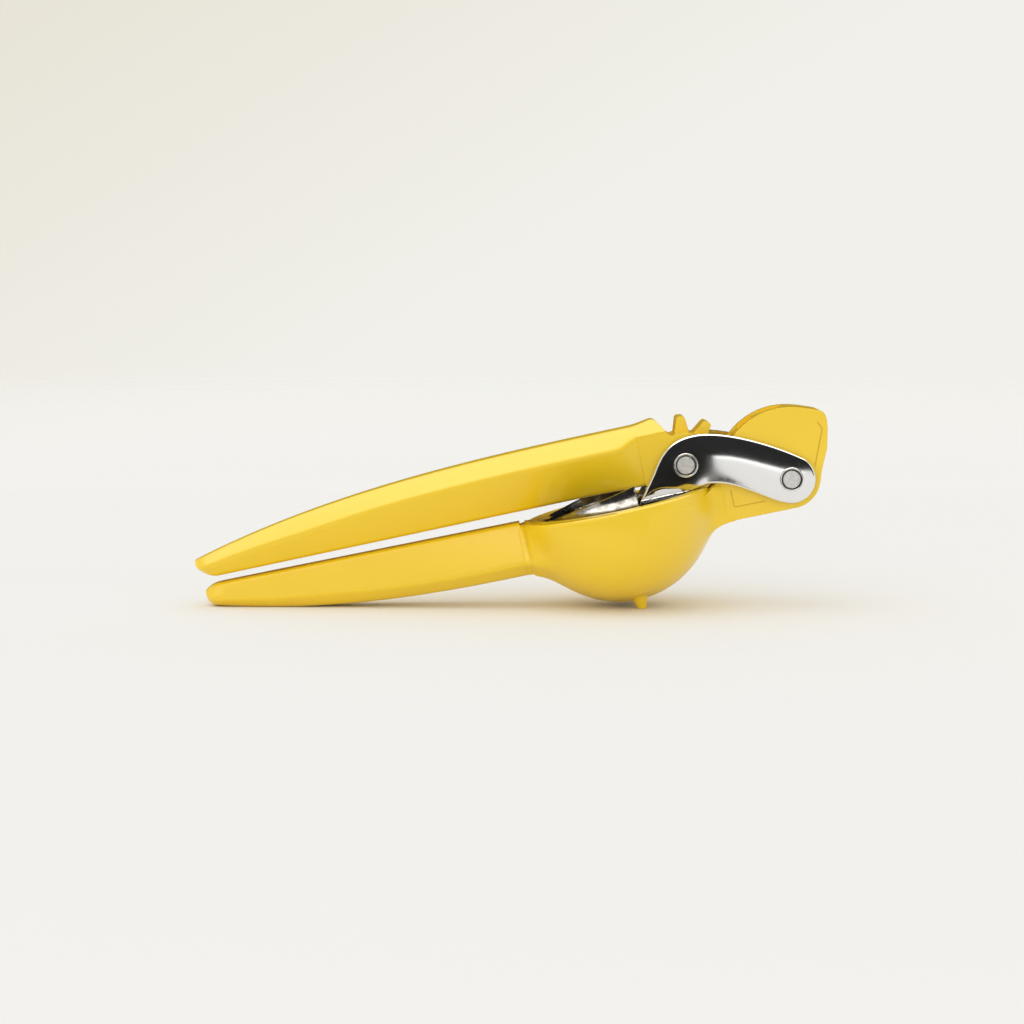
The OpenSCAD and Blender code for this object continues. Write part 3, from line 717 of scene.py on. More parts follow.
class MeshMaker:
    """Collects points and faces in the tool's plane and makes an object of them."""

    def __init__(self) -> None:
        """Starts empty."""
        self.points: list[Point3] = []
        self.faces: list[tuple[int, ...]] = []

    def ring(self, points: Iterable[Point3]) -> list[int]:
        """Adds a ring of points.

        Args:
            points: The points, in order.

        Returns:
            Their numbers.
        """
        start = len(self.points)
        self.points.extend(points)
        return list(range(start, len(self.points)))

    def bridge(self, first: Sequence[int], second: Sequence[int]) -> None:
        """Adds faces between two rings.

        Args:
            first: The points' numbers in one ring.
            second: As many in the other.
        """
        for i in range(len(first)):
            j = (i + 1) % len(first)
            self.faces.append((first[i], second[i], second[j], first[j]))

    def cap(self, ring: Sequence[int], flip: bool = False) -> None:
        """Closes a ring with one face."""
        self.faces.append(tuple(reversed(ring)) if flip else tuple(ring))

    def loft(self, rings: Sequence[Sequence[Point3]]) -> None:
        """Adds a closed skin.

        Args:
            rings: The rings of equally many points that it runs through.
        """
        numbers = [self.ring(points) for points in rings]
        for first, second in zip(numbers, numbers[1:]):
            self.bridge(first, second)
        self.cap(numbers[0], flip=True)
        self.cap(numbers[-1])

    def box(self, low: Point3, high: Point3) -> None:
        """Adds a plain box between two corners."""
        (x0, y0, z0), (x1, y1, z1) = low, high
        self.loft([[(x, y0, z0), (x, y1, z0), (x, y1, z1), (x, y0, z1)] for x in (x0, x1)])

    def turned(self, at: Point2, profile: Sequence[Point2], hollow: bool = False,
               steps: int = 64) -> None:
        """Adds a solid turned about a line across the tool.

        Args:
            at: Where the line crosses the tool's plane.
            profile: Radius and place across the tool of each circle.
            hollow: Whether the profile closes on itself, round a hole.
            steps: Points in a circle.
        """
        rings = []
        for r, y in profile:
            circle = (polar(at, r, 360 * i / steps) for i in range(steps))
            rings.append([(x, y, z) for x, z in circle])
        if not hollow:
            self.loft(rings)
            return
        numbers = [self.ring(points) for points in rings]
        for first, second in zip(numbers, [*numbers[1:], numbers[0]]):
            self.bridge(first, second)

    def build(self, name: str, crisp: float = CRISP) -> bpy.types.Object:
        """Makes the object.

        Args:
            name: The piece's name.
            crisp: Angle in degrees over which an edge stays crisp.

        Returns:
            The new object, in the model's metres.
        """
        mesh = bpy.data.meshes.new(name)
        mesh.from_pydata(self.points, [], self.faces)
        made = bmesh.new()
        made.from_mesh(mesh)
        bmesh.ops.remove_doubles(made, verts=made.verts, dist=0.0005)
        bmesh.ops.recalc_face_normals(made, faces=made.faces)
        made.to_mesh(mesh)
        made.free()
        mesh.transform(TOOL.matrix())
        shade(mesh, crisp)
        return placed(name, mesh)


class Assembly:
    """A sub-assembly of the tool, which builds and dresses its own pieces."""

    def build(self) -> list[bpy.types.Object]:
        """Returns the finished pieces."""
        raise NotImplementedError


# ---------------------------------------------------------------- grips
@dataclass
class GripForm:
    """What both grips share: a long bar of six faces with soft corners, in tool millimetres."""

    width: float = 28.6
    width_start: float = -30.0
    taper: float = 7.0
    taper_power: float = 1.2
    inner_w: float = 9.6
    inner_tip: float = 0.45  # share of the inner face's width at the very tip
    inner_len: float = 16.0  # the share grows by one over this length
    outer_w: float = 12.0
    bevel: float = 7.2
    bevel_tip: float = 0.53  # share of the bevel's height at the very tip
    bevel_len: float = 45.0
    soft: float = 1.7
    soft_share: float = 0.42  # most of a short side that a soft corner takes
    steps: int = 6
    places: int = 110
    crowding: float = 2.1  # over 1, the sections crowd towards the tip
    end_cut: float = 0.9
    tip_r: float = 6.0
    least_depth: float = 2.6
    least_side: float = 0.9
    core_wall: float = 1.3
    core_end: float = 24.0
    core_past: float = 3.0  # how far the slot's cutter stands out of the grip
    plate_t: float = 1.8

    def half(self, x: float, tip: float) -> float:
        """Returns half the width of the side creases at x."""
        share = max(0.0, (self.width_start - x) / (self.width_start - tip))
        return self.width / 2 - self.taper * share ** self.taper_power

    def inner_share(self, s: float) -> float:
        """Returns the share of the inner face's width at a distance s from the tip."""
        return min(1.0, self.inner_tip + s / self.inner_len)

    def bevel_at(self, s: float) -> float:
        """Returns the bevels' height at a distance s from the tip."""
        return self.bevel * min(1.0, self.bevel_tip + (1 - self.bevel_tip) * s / self.bevel_len)

    def section(self, x: float, heights: Point3, halves: Point3) -> list[Point3]:
        """Draws one section with rounded corners.

        Args:
            x: Where it lies along the tool.
            heights: Inner face, side crease and outer face.
            halves: Half widths of the same three.

        Returns:
            The section's points.
        """
        right = list(zip(halves, heights))
        corners = right + [(-y, z) for y, z in reversed(right)]
        out: list[Point3] = []
        for i, here in enumerate(corners):
            before, after = corners[i - 1], corners[(i + 1) % 6]
            p, u, v = (Vector(q) for q in (here, before, after))
            reach = min(self.soft, *(self.soft_share * (q - p).length for q in (u, v)))
            a, b = p + (u - p).normalized() * reach, p + (v - p).normalized() * reach
            for k in range(self.steps + 1):
                t = k / self.steps
                q = a * (1 - t) ** 2 + p * 2 * t * (1 - t) + b * t * t
                out.append((x, q.x, q.y))
        return out

    def stations(self, tip: float, seam: float) -> list[float]:
        """Returns places along a grip, closer together where its tip turns."""
        start = tip + self.end_cut
        return [start + (seam - start) * (i / self.places) ** self.crowding
                for i in range(self.places + 1)]

    def hollowed(self, name: str, rings: Sequence[Sequence[Point3]], low: Point2,
                 high: Point2) -> bpy.types.Object:
        """Builds a grip and cuts its core slot, which a cover plate closes.

        Args:
            name: The grip's name.
            rings: Its sections.
            low: The slot's lowest corner in the tool's plane.
            high: The slot's highest corner.

        Returns:
            The grip.
        """
        maker, slot = MeshMaker(), MeshMaker()
        maker.loft(rings)
        thing = maker.build(name)
        half = self.inner_w / 2 - self.core_wall
        slot.box((low[0], -half, low[1]), (high[0], half, high[1]))
        carve(thing, slot.build("core_slot"))
        return thing


@dataclass
class UpperGrip(Assembly):
    """The long upper grip, widest over the bowl and thin at its tip."""

    form: GripForm = field(default_factory=GripForm)
    head_len: float = 16.3
    length: float = 178.4
    inner_z: float = 6.8
    inner_turn: float = 9.0
    depth: float = 23.4
    drop: float = 15.9
    outer_turn: float = 2.0
    outer_give: float = 0.5  # share of the turn that the outer face takes
    narrow_len: float = 8.0  # the creases close in on the head over this length
    flare_len: float = 26.0  # the inner face widens towards the hinge over this length
    half_hinge: float = 10.7
    hinge_step: float = 0.6

    @property
    def seam(self) -> float:
        """Where the grip meets the pinion head."""
        return TOOL.pinion_pin[0] - self.head_len

    @property
    def tip(self) -> float:
        """Where the grip ends."""
        return self.seam - self.length

    def outer(self, x: float) -> float:
        """Returns the outer face's height at x."""
        return self.inner_z + self.depth - self.drop * ((self.seam - x) / self.length) ** 3

    def ring(self, x: float) -> list[Point3]:
        """Draws the section at x.

        Args:
            x: Where it lies along the tool.

        Returns:
            The section's points.
        """
        form = self.form
        s = x - self.tip
        k = rounded(s, form.tip_r)
        full = form.half(x, self.tip)
        narrow = ease((x - self.seam + self.narrow_len) / self.narrow_len)
        crease = (full + (self.half_hinge - full) * narrow) * k
        outer_half = form.outer_w / form.width * full * k
        top = self.outer(x) - bend(s, self.outer_turn) * self.outer_give
        low = min(self.inner_z + bend(s, self.inner_turn), top - form.least_depth)
        flare = ease((x - self.seam + self.flare_len) / self.flare_len)
        inner = form.inner_w / 2
        inner += (self.half_hinge - self.hinge_step - inner) * flare
        side = top - form.bevel_at(s) * (crease - outer_half) / (full * k - outer_half)
        return form.section(x, (low, max(side, low + form.least_side), top),
                            (inner * form.inner_share(s), crease, outer_half))

    def build(self) -> list[bpy.types.Object]:
        """Builds the grip.

        Returns:
            The one piece.
        """
        form = self.form
        rings = [self.ring(x) for x in form.stations(self.tip, self.seam)]
        low = (self.tip + form.core_end, self.inner_z - form.core_past)
        high = (self.seam + form.core_past, self.inner_z + form.plate_t)
        thing = form.hollowed("upper_grip_skin", rings, low, high)
        return [settle(thing, Coats.PAINT, "handle", "upper_grip")]


@dataclass
class LowerGrip(Assembly):
    """The lower grip, whose outer face curves up to a thin tip."""

    form: GripForm = field(default_factory=GripForm)
    length: float = 125.8
    seam: float = -39.0
    inner_z: float = 2.7
    inner_rise: float = 1.5
    inner_turn: float = 7.0
    inner_give: float = 0.6  # share of the turn that the inner face takes
    depth: float = 20.5
    rise: float = 13.8
    curve: float = 2.5
    stretch: float = 1.02  # the curve climbs a little past its rise
    outer_turn: float = 4.0
    outer_half: float = 8.4
    bevel_share: float = 0.74
    plate_gap: float = 0.4
    slot_over: float = 5.0

    @property
    def tip(self) -> float:
        """Where the grip ends."""
        return self.seam - self.length

    def outer(self, x: float) -> float:
        """Returns the outer face's height at x."""
        share = max(0.0, self.seam - x) / self.length * self.stretch
        return self.inner_z - self.depth + self.rise * share ** self.curve

    def inner(self, x: float) -> float:
        """Returns the inner face's height at x."""
        return self.inner_z + self.inner_rise * max(0.0, (self.seam - x) / self.length)

    def ring(self, x: float) -> list[Point3]:
        """Draws the section at x.

        Args:
            x: Where it lies along the tool.

        Returns:
            The section's points.
        """
        form = self.form
        s = x - self.tip
        crease = form.half(x, self.tip) * rounded(s, form.tip_r)
        outer_half = self.outer_half * crease / (form.width / 2)
        top = self.inner(x) - bend(s, self.inner_turn) * self.inner_give
        low = min(self.outer(x) + bend(s, self.outer_turn), top - form.least_depth)
        side = min(low + form.bevel_at(s) * self.bevel_share, top - form.least_side)
        return form.section(x, (top, side, low),
                            (form.inner_w / 2 * form.inner_share(s), crease, outer_half))

    def build(self) -> list[bpy.types.Object]:
        """Builds the grip, which doesn't go below the table.

        Returns:
            The one piece.
        """
        form = self.form
        rings = [self.ring(x) for x in form.stations(self.tip, self.seam)]
        start = self.tip + form.core_end
        low = (start, self.inner(start) - form.plate_t - self.plate_gap)
        high = (self.seam + form.core_past, self.inner_z + self.slot_over)
        thing = form.hollowed("lower_grip_skin", rings, low, high)
        for vertex in thing.data.vertices:
            vertex.co.z = max(CAD_BOX[0][2], vertex.co.z)
        return [settle(thing, Coats.PAINT, "lower", "lower_grip")]


# ---------------------------------------------------------------- links
def resample(points: Sequence[Point2], step: float) -> list[Point2]:
    """Adds points to a closed outline.

    Args:
        points: The outline.
        step: The longest side that it may have.

    Returns:
        The outline with the extra points.
    """
    out: list[Point2] = []
    for i, a in enumerate(points):
        b = points[(i + 1) % len(points)]
        parts = max(1, math.ceil(math.dist(a, b) / step))
        out += [(a[0] + (b[0] - a[0]) * k / parts, a[1] + (b[1] - a[1]) * k / parts)
                for k in range(parts)]
    return out


@dataclass
class CrownedFace:
    """A gently domed face inside an outline, like a film that a little pressure bulges."""

    outline: list[Point2]
    rise: float
    grid: float = 0.62
    row_share: float = 0.9
    clear_share: float = 0.55  # share of the grid that inner points keep off the edge
    least_pull: float = 0.02  # keeps thin triangles from turning the film over

    def triangles(self) -> tuple[list[Point2], list[Sequence[int]]]:
        """Fills the outline.

        Returns:
            The points, the outline's own first, and the triangles between them.
        """
        n = len(self.outline)
        xs, zs = [p[0] for p in self.outline], [p[1] for p in self.outline]
        points = list(self.outline)
        rows = int((max(zs) - min(zs)) / self.grid)
        for r in range(rows + 1):
            z = min(zs) + r * self.grid * self.row_share
            for c in range(int((max(xs) - min(xs)) / self.grid) + 1):
                q = (min(xs) + (c + 0.5 * (r % 2)) * self.grid, z)
                if self.inside(q):
                    points.append(q)
        sides = [(i, (i + 1) % n) for i in range(n)]
        found = geometry.delaunay_2d_cdt([Vector(p) for p in points], sides, [], 1, 1e-6)
        return [tuple(p) for p in found[0]], found[2]

    def inside(self, q: Point2) -> bool:
        """Tells where a point lies.

        Args:
            q: The point.

        Returns:
            Whether it lies inside the outline and clear of its edge.
        """
        crossings, clear = False, True
        for i, a in enumerate(self.outline):
            b = self.outline[i - 1]
            spans = (a[1] > q[1]) != (b[1] > q[1])
            if spans and q[0] < (b[0] - a[0]) * (q[1] - a[1]) / (b[1] - a[1]) + a[0]:
                crossings = not crossings
            clear = clear and math.dist(a, q) > self.grid * self.clear_share
        return crossings and clear

    def heights(self, points: Sequence[Point2], faces: Sequence[Sequence[int]]) -> list[float]:
        """Works out how far the face bulges.

        Args:
            points: The points of the filled outline.
            faces: The triangles between them.

        Returns:
            Each point's height: zero on the outline, the full rise at the highest point.
        """
        n = len(points)
        sides: dict[tuple[int, int], int] = {}
        at = np.array(points)
        pull = np.zeros((n, n))
        load = np.zeros(n)
        for face in faces:
            for k in range(3):
                i, j, far = face[k], face[(k + 1) % 3], face[(k + 2) % 3]
                sides[min(i, j), max(i, j)] = sides.get((min(i, j), max(i, j)), 0) + 1
                u, v = at[i] - at[far], at[j] - at[far]
                twice = abs(u[0] * v[1] - u[1] * v[0])
                weight = max(self.least_pull, float(u @ v) / max(twice, 1e-9) / 2)
                pull[i, j] -= weight
                pull[j, i] -= weight
                pull[i, i] += weight
                pull[j, j] += weight
                load[i] += twice / 6
        rim = {k for side, uses in sides.items() if uses == 1 for k in side}
        free = np.array([k for k in range(n) if k not in rim and pull[k, k] > 0])
        out = np.zeros(n)
        out[free] = np.linalg.solve(pull[np.ix_(free, free)], load[free])
        return list(self.rise * (out / out.max()))


@dataclass
class SideLinks(Assembly):
    """The two bright side links, the rings on them and the two hinge pins."""

    inner_y: float = 11.2
    outer_y: float = 15.0
    edge: float = 1.1
    edge_step: int = 15
    crown: float = 0.8
    crisp: float = 40.0
    outline_step: float = 0.8
    end_r: float = 9.3
    crown_r: float = 10.4
    deck: float = 1.4
    waist: Point2 = (35.0, 2.9)
    heel: Point2 = (26.09, 1.4)
    broad: float = 1.2  # how much further the foot's lower edge is rounded, as a share
    broad_len: float = 9.0
    broad_fade: float = 6.0
    fold_points: int = 20  # points beside the sharp corner that could fold over
    foot_x: float = 27.0  # the crowned face is levelled off before this place
    foot_fade_x: float = 6.0
    foot_z: float = 10.0  # and under this height
    foot_fade_z: float = 5.0
    foot_h: float = 0.55
    foot_soft: float = 0.1  # how soon the levelled face reaches its height
    pin_r: float = 3.75
    gap: float = 0.2
    bore_band: float = 0.12  # how far from a bore its wall still counts
    ring_w: float = 0.72
    ring_h: float = 0.36
    ring_low: float = 0.12
    ring_root: float = 0.8  # how deep the rings stand in the links
    ring_step: int = 20
    ring_crisp: float = 60.0
    pin_slim: float = 0.92
    pin_from: float = 13.9  # a pin is slimmer from here outwards

    def outline(self) -> list[Point2]:
        """Draws the side view.

        Returns:
            Its points, from the tip of the foot over the crown; the foot's flat edge comes last.
        """
        p1, p2 = TOOL.pinion_pin, TOOL.base_pin
        tip = (p1[0] - 20.1, self.deck)
        left, top = shifted(p1, -12.9, -0.85), shifted(p1, 5, self.crown_r + 0.3)
        over, under = polar(p2, self.end_r, 47), polar(p2, self.end_r, -98)
        return [tip, left,
                *bezier(left, shifted(left, 3.4, 5.6), shifted(top, -10.1, 0.1), top, 26),
                *bezier(top, shifted(top, 10.7, 0.1), shifted(p2, -4.9, 15.4), over, 30),
                *arc(p2, self.end_r, 42, -94, 40),
                *bezier(under, shifted(p2, -9.5, -7.9), shifted(p2, -19.9, 4.4), self.waist, 30),
                self.heel]

    def inset(self, points: Sequence[Point2], depth: float) -> list[Point2]:
        """Moves an outline inwards, without folds at its sharp corner.

        Args:
            points: The outline, from its sharp corner; its flat bottom edge comes last.
            depth: How far it moves; near the corner the bottom edge moves further.

        Returns:
            The moved outline, of equally many points.
        """
        area = sum(a[0] * b[1] - b[0] * a[1] for a, b in zip(points, [*points[1:], points[0]]))
        side = 1 if area > 0 else -1
        corner = Vector(points[0])
        out: list[Point2] = []
        for i, here in enumerate(points):
            p, u, v = Vector(here), Vector(points[i - 1]), Vector(points[(i + 1) % len(points)])
            s, t = (p - u).normalized(), (v - p).normalized()
            n = Vector((-s.y - t.y, s.x + t.x)) * (side * depth / max(0.3, 1 + s.dot(t)))
            fade = 1 - ease((p.x - corner.x - self.broad_len) / self.broad_fade)
            rise = depth * self.broad * fade if abs(p.y - corner.y) < 1e-6 else 0.0
            lean = (v - p).x / (v - p).y if i == 0 else 0.0
            out.append((p.x + n.x + lean * rise, p.y + n.y + rise))
        tip = Vector(out[0])
        for i in [*range(1, self.fold_points), *range(1 - self.fold_points, 0)]:
            if (Vector(out[i]) - tip).dot(Vector(points[i]) - corner) < 0:
                out[i] = out[0]
        return out

    def level(self, p: Point2, height: float) -> float:
        """Levels the crowned face off over the foot.

        Args:
            p: A place in the side view.
            height: The crown's height there.

        Returns:
            The height that the face gets.
        """
        near = (ease((self.foot_x - p[0]) / self.foot_fade_x)
                * ease((self.foot_z - p[1]) / self.foot_fade_z))
        flat = self.foot_h * (1 - math.exp(-height / self.foot_soft))
        return height + (flat - height) * near

    def plate(self) -> bpy.types.Object:
        """Builds the front plate: walls, a rounded edge and the crowned face.

        Returns:
            The plate, without its bores.
        """
        outline = resample(self.outline(), self.outline_step)
        maker = MeshMaker()
        base = self.outer_y - self.crown
        turns = [math.radians(a) for a in range(0, 91, self.edge_step)]
        rounds = [(self.edge * (1 - math.cos(a)), base - self.edge * (1 - math.sin(a)))
                  for a in turns]
        rings = [maker.ring([(x, -y, z) for x, z in self.inset(outline, depth)])
                 for depth, y in [(0.0, self.inner_y), *rounds]]
        for first, second in zip(rings, rings[1:]):
            maker.bridge(first, second)
        maker.cap(rings[0])
        face = CrownedFace(list(dict.fromkeys(self.inset(outline, self.edge))), self.crown)
        points, triangles = face.triangles()
        heights = [self.level(p, h) for p, h in zip(points, face.heights(points, triangles))]
        start = maker.ring([(x, -base - h, z) for (x, z), h in zip(points, heights)])[0]
        maker.faces += [tuple(start + k for k in triangle) for triangle in triangles]
        return maker.build("front_link_skin", self.crisp)

    def bored(self, plate: bpy.types.Object) -> None:
        """Cuts the two bores.

        Args:
            plate: The front plate.
        """
        r = self.pin_r + self.gap
        for at in (TOOL.pinion_pin, TOOL.base_pin):
            maker = MeshMaker()
            maker.turned(at, [(r, 0), (r, -self.outer_y - 2)])
            carve(plate, maker.build("link_bore"))

    def darken_bores(self, thing: bpy.types.Object) -> None:
        """Paints the bores' walls, deep beside the pins, nearly black: painted shade for the dark
        gap round each pin.

        Args:
            thing: The link.
        """
        thing.data.materials.append(Coats.BORE.value.material())
        back = TOOL.back()
        for face in thing.data.polygons:
            p = back @ face.center
            near = min(math.dist((p.x, p.z), at) for at in (TOOL.pinion_pin, TOOL.base_pin))
            face.material_index = 1 if near < self.pin_r + self.gap + self.bore_band else 0

    def rings(self) -> bpy.types.Object:
        """Builds the rolled rings round the pins' ends, on both sides.

        Returns:
            The rings, as one piece.
        """
        half = self.ring_w / 2
        mid = self.pin_r + self.gap + half
        turns = [math.radians(a) for a in range(0, 181, self.ring_step)]
        bow = [(mid - half * math.cos(a), self.outer_y - self.ring_low + self.ring_h * math.sin(a))
               for a in turns]
        root = self.outer_y - self.ring_root
        maker = MeshMaker()
        for side in (-1, 1):
            profile = [(r, y * side) for r, y in [(mid - half, root), *bow, (mid + half, root)]]
            for at in (TOOL.pinion_pin, TOOL.base_pin):
                maker.turned(at, profile, hollow=True)
        thing = maker.build("pin_rings", self.ring_crisp)
        return settle(thing, Coats.CHROME, "press")

    def pin(self, node: str, at: Point2) -> bpy.types.Object:
        """Builds one pin, whose ends are turned down a little inside the rings.

        Args:
            node: The pin's node.
            at: Where it crosses the tool's plane.

        Returns:
            The pin.
        """
        mesh = solid_copy(node)
        for vertex in mesh.vertices:
            x, y, z = vertex.co
            if abs(y) > self.pin_from:
                vertex.co = (at[0] + (x - at[0]) * self.pin_slim, y,
                             at[1] + (z - at[1]) * self.pin_slim)
        mesh.transform(TOOL.matrix())
        return settle(placed(f"{node}_body", mesh), Coats.PIN, "press", node)

    def build(self) -> list[bpy.types.Object]:
        """Builds both links, the rings and the pins.

        Returns:
            The pieces.
        """
        front = self.plate()
        self.bored(front)
        rear_mesh = front.data.copy()
        rear_mesh.transform(Matrix.Scale(-1, 4, (0, 1, 0)))
        rear_mesh.flip_normals()
        rear = placed("rear_link_skin", rear_mesh)
        for thing, node in ((front, "front_link"), (rear, "rear_link")):
            shade(thing.data, self.crisp)
            settle(thing, Coats.CHROME, "press", node)
            self.darken_bores(thing)
        return [front, rear, self.rings(), self.pin("pinion_pin", TOOL.pinion_pin),
                self.pin("base_pin", TOOL.base_pin)]


# ---------------------------------------------------------------- press cup
@dataclass
class PressCup(Assembly):
    """The press cup and the screws that hold the links on its decks.

    The cup's raised edge ends in front of the links, so that their feet stand clear on the deck.
    """

    deck: float = 1.43
    edge_end: float = 7.2
    beside: float = 14.97
    step: float = 0.03  # width of the wall between the raised edge and the deck
    weld: float = 0.001
    snap: float = 0.002
    screw_y: float = 13.1
    screw_in: float = 0.7
    screw_slim: float = 0.75

    def cup(self) -> bpy.types.Object:
        """Builds the cup, whose shoulders beside the links lie flat.

        Returns:
            The cup.
        """
        mesh = solid_copy("press_cup")
        made = bmesh.new()
        made.from_mesh(mesh)
        bmesh.ops.remove_doubles(made, verts=made.verts, dist=self.weld)
        cuts = ((self.edge_end, (1, 0, 0)), (self.beside, (0, 1, 0)), (self.beside, (0, -1, 0)))
        for at, way in [(at + extra, way) for at, way in cuts for extra in (0, self.step)]:
            bmesh.ops.bisect_plane(made, geom=[*made.verts, *made.edges, *made.faces],
                                   dist=self.snap, plane_co=Vector(way) * at, plane_no=way)
        for vertex in made.verts:
            x, y, z = vertex.co
            if x > self.edge_end + self.step / 2 and abs(y) > self.beside + self.step / 2:
                vertex.co.z = min(z, self.deck)
        made.to_mesh(mesh)
        made.free()
        mesh.transform(TOOL.matrix())
        shade(mesh)
        thing = placed("press_cup_body", mesh)
        return settle(thing, Coats.CUP, "press", "press_cup")

    def screws(self) -> bpy.types.Object:
        """Builds the screws, drawn in a little to stay inside the links' rounded faces.

        Returns:
            The screws, as one piece.
        """
        mesh = solid_copy("link_screws")
        for vertex in mesh.vertices:
            out = abs(vertex.co.y) - self.screw_y
            across = self.screw_y - self.screw_in + out * self.screw_slim
            vertex.co.y = math.copysign(across, vertex.co.y)
        mesh.transform(TOOL.matrix())
        thing = placed("link_screw_bodies", mesh)
        return settle(thing, Coats.PIN, "press", "link_screws")

    def build(self) -> list[bpy.types.Object]:
        """Returns the cup and the screws."""
        return [self.cup(), self.screws()]


# ---------------------------------------------------------------- the casting's soft blends
def polygon_distance(y: np.ndarray, z: np.ndarray, corners: Sequence[Point2]) -> np.ndarray:
    """Measures places in one plane against a closed outline.

    Args:
        y: First coordinate of each place.
        z: Second coordinate of each place.
        corners: The outline's corners, in order.

    Returns:
        The distances, negative inside, in the shape of y.
    """
    best = np.full(y.shape, 1e9)
    inside = np.zeros(y.shape, dtype=bool)
    for i, (by, bz) in enumerate(corners):
        ay, az = corners[i - 1]
        ey, ez = by - ay, bz - az
        wy, wz = y - ay, z - az
        t = np.clip((wy * ey + wz * ez) / max(ey * ey + ez * ez, 1e-12), 0, 1)
        best = np.minimum(best, (wy - ey * t) ** 2 + (wz - ez * t) ** 2)
        if abs(ez) > 1e-9:
            inside ^= ((az > z) != (bz > z)) & (y < ey * wz / ez + ay)
    return np.where(inside, -1, 1) * np.sqrt(best)


def soft_join(a: np.ndarray, b: np.ndarray, reach: float) -> np.ndarray:
    """Returns the distance to two forms joined with a fillet."""
    h = np.maximum(reach - np.abs(a - b), 0) / reach
    return np.minimum(a, b) - h * h * h * reach / 6


def soft_cut(a: np.ndarray, b: np.ndarray, reach: float) -> np.ndarray:
    """Returns the distance to what two forms share, with the edge rounded."""
    return -soft_join(-a, -b, reach)


def skin_net(values: np.ndarray, axes: Sequence[np.ndarray]) -> tuple[np.ndarray, np.ndarray]:
    """Makes a smooth net of four-sided faces where a grid of values changes sign.

    Args:
        values: A value at each grid place, negative inside.
        axes: The grid's coordinates along x, y and z.

    Returns:
        The net's points and faces.
    """
    cell = axes[0][1] - axes[0][0]
    shape = tuple(n - 1 for n in values.shape)
    total = np.zeros((*shape, 3))
    count = np.zeros(shape)
    corners = [(i, j, k) for i in (0, 1) for j in (0, 1) for k in (0, 1)]
    part = {c: values[tuple(slice(k, k + n) for k, n in zip(c, shape))] for c in corners}
    for c in corners:
        for axis in range(3):
            if c[axis]:
                continue
            d = tuple(v + (1 if n == axis else 0) for n, v in enumerate(c))
            a, b = part[c], part[d]
            crossed = (a < 0) != (b < 0)
            t = np.where(crossed, a / np.where(crossed, a - b, 1), 0)
            for n in range(3):
                total[..., n] += np.where(crossed, c[n] + (t if n == axis else 0), 0)
            count += crossed
    used = count > 0
    number = np.full(shape, -1)
    number[used] = np.arange(used.sum())
    low = np.stack(np.meshgrid(*[a[:-1] for a in axes], indexing="ij"), -1)[used]
    points = low + cell * total[used] / count[used][:, None]
    faces = []
    for axis in range(3):
        u, v = (axis + 1) % 3, (axis + 2) % 3
        inner = [slice(1, -1)] * 3
        inner[axis] = slice(0, -1)
        after = list(inner)
        after[axis] = slice(1, None)
        a, b = values[tuple(inner)], values[tuple(after)]
        for leaving in (True, False):
            at = np.argwhere(((a < 0) & (b >= 0)) if leaving else ((a >= 0) & (b < 0)))
            at[:, [u, v]] += 1
            around = []
            for du, dv in ((-1, -1), (0, -1), (0, 0), (-1, 0)):
                q = at.copy()
                q[:, u] += du
                q[:, v] += dv
                around.append(number[q[:, 0], q[:, 1], q[:, 2]])
            faces.append(np.stack(around if leaving else around[::-1], 1))
    return points, np.concatenate(faces)


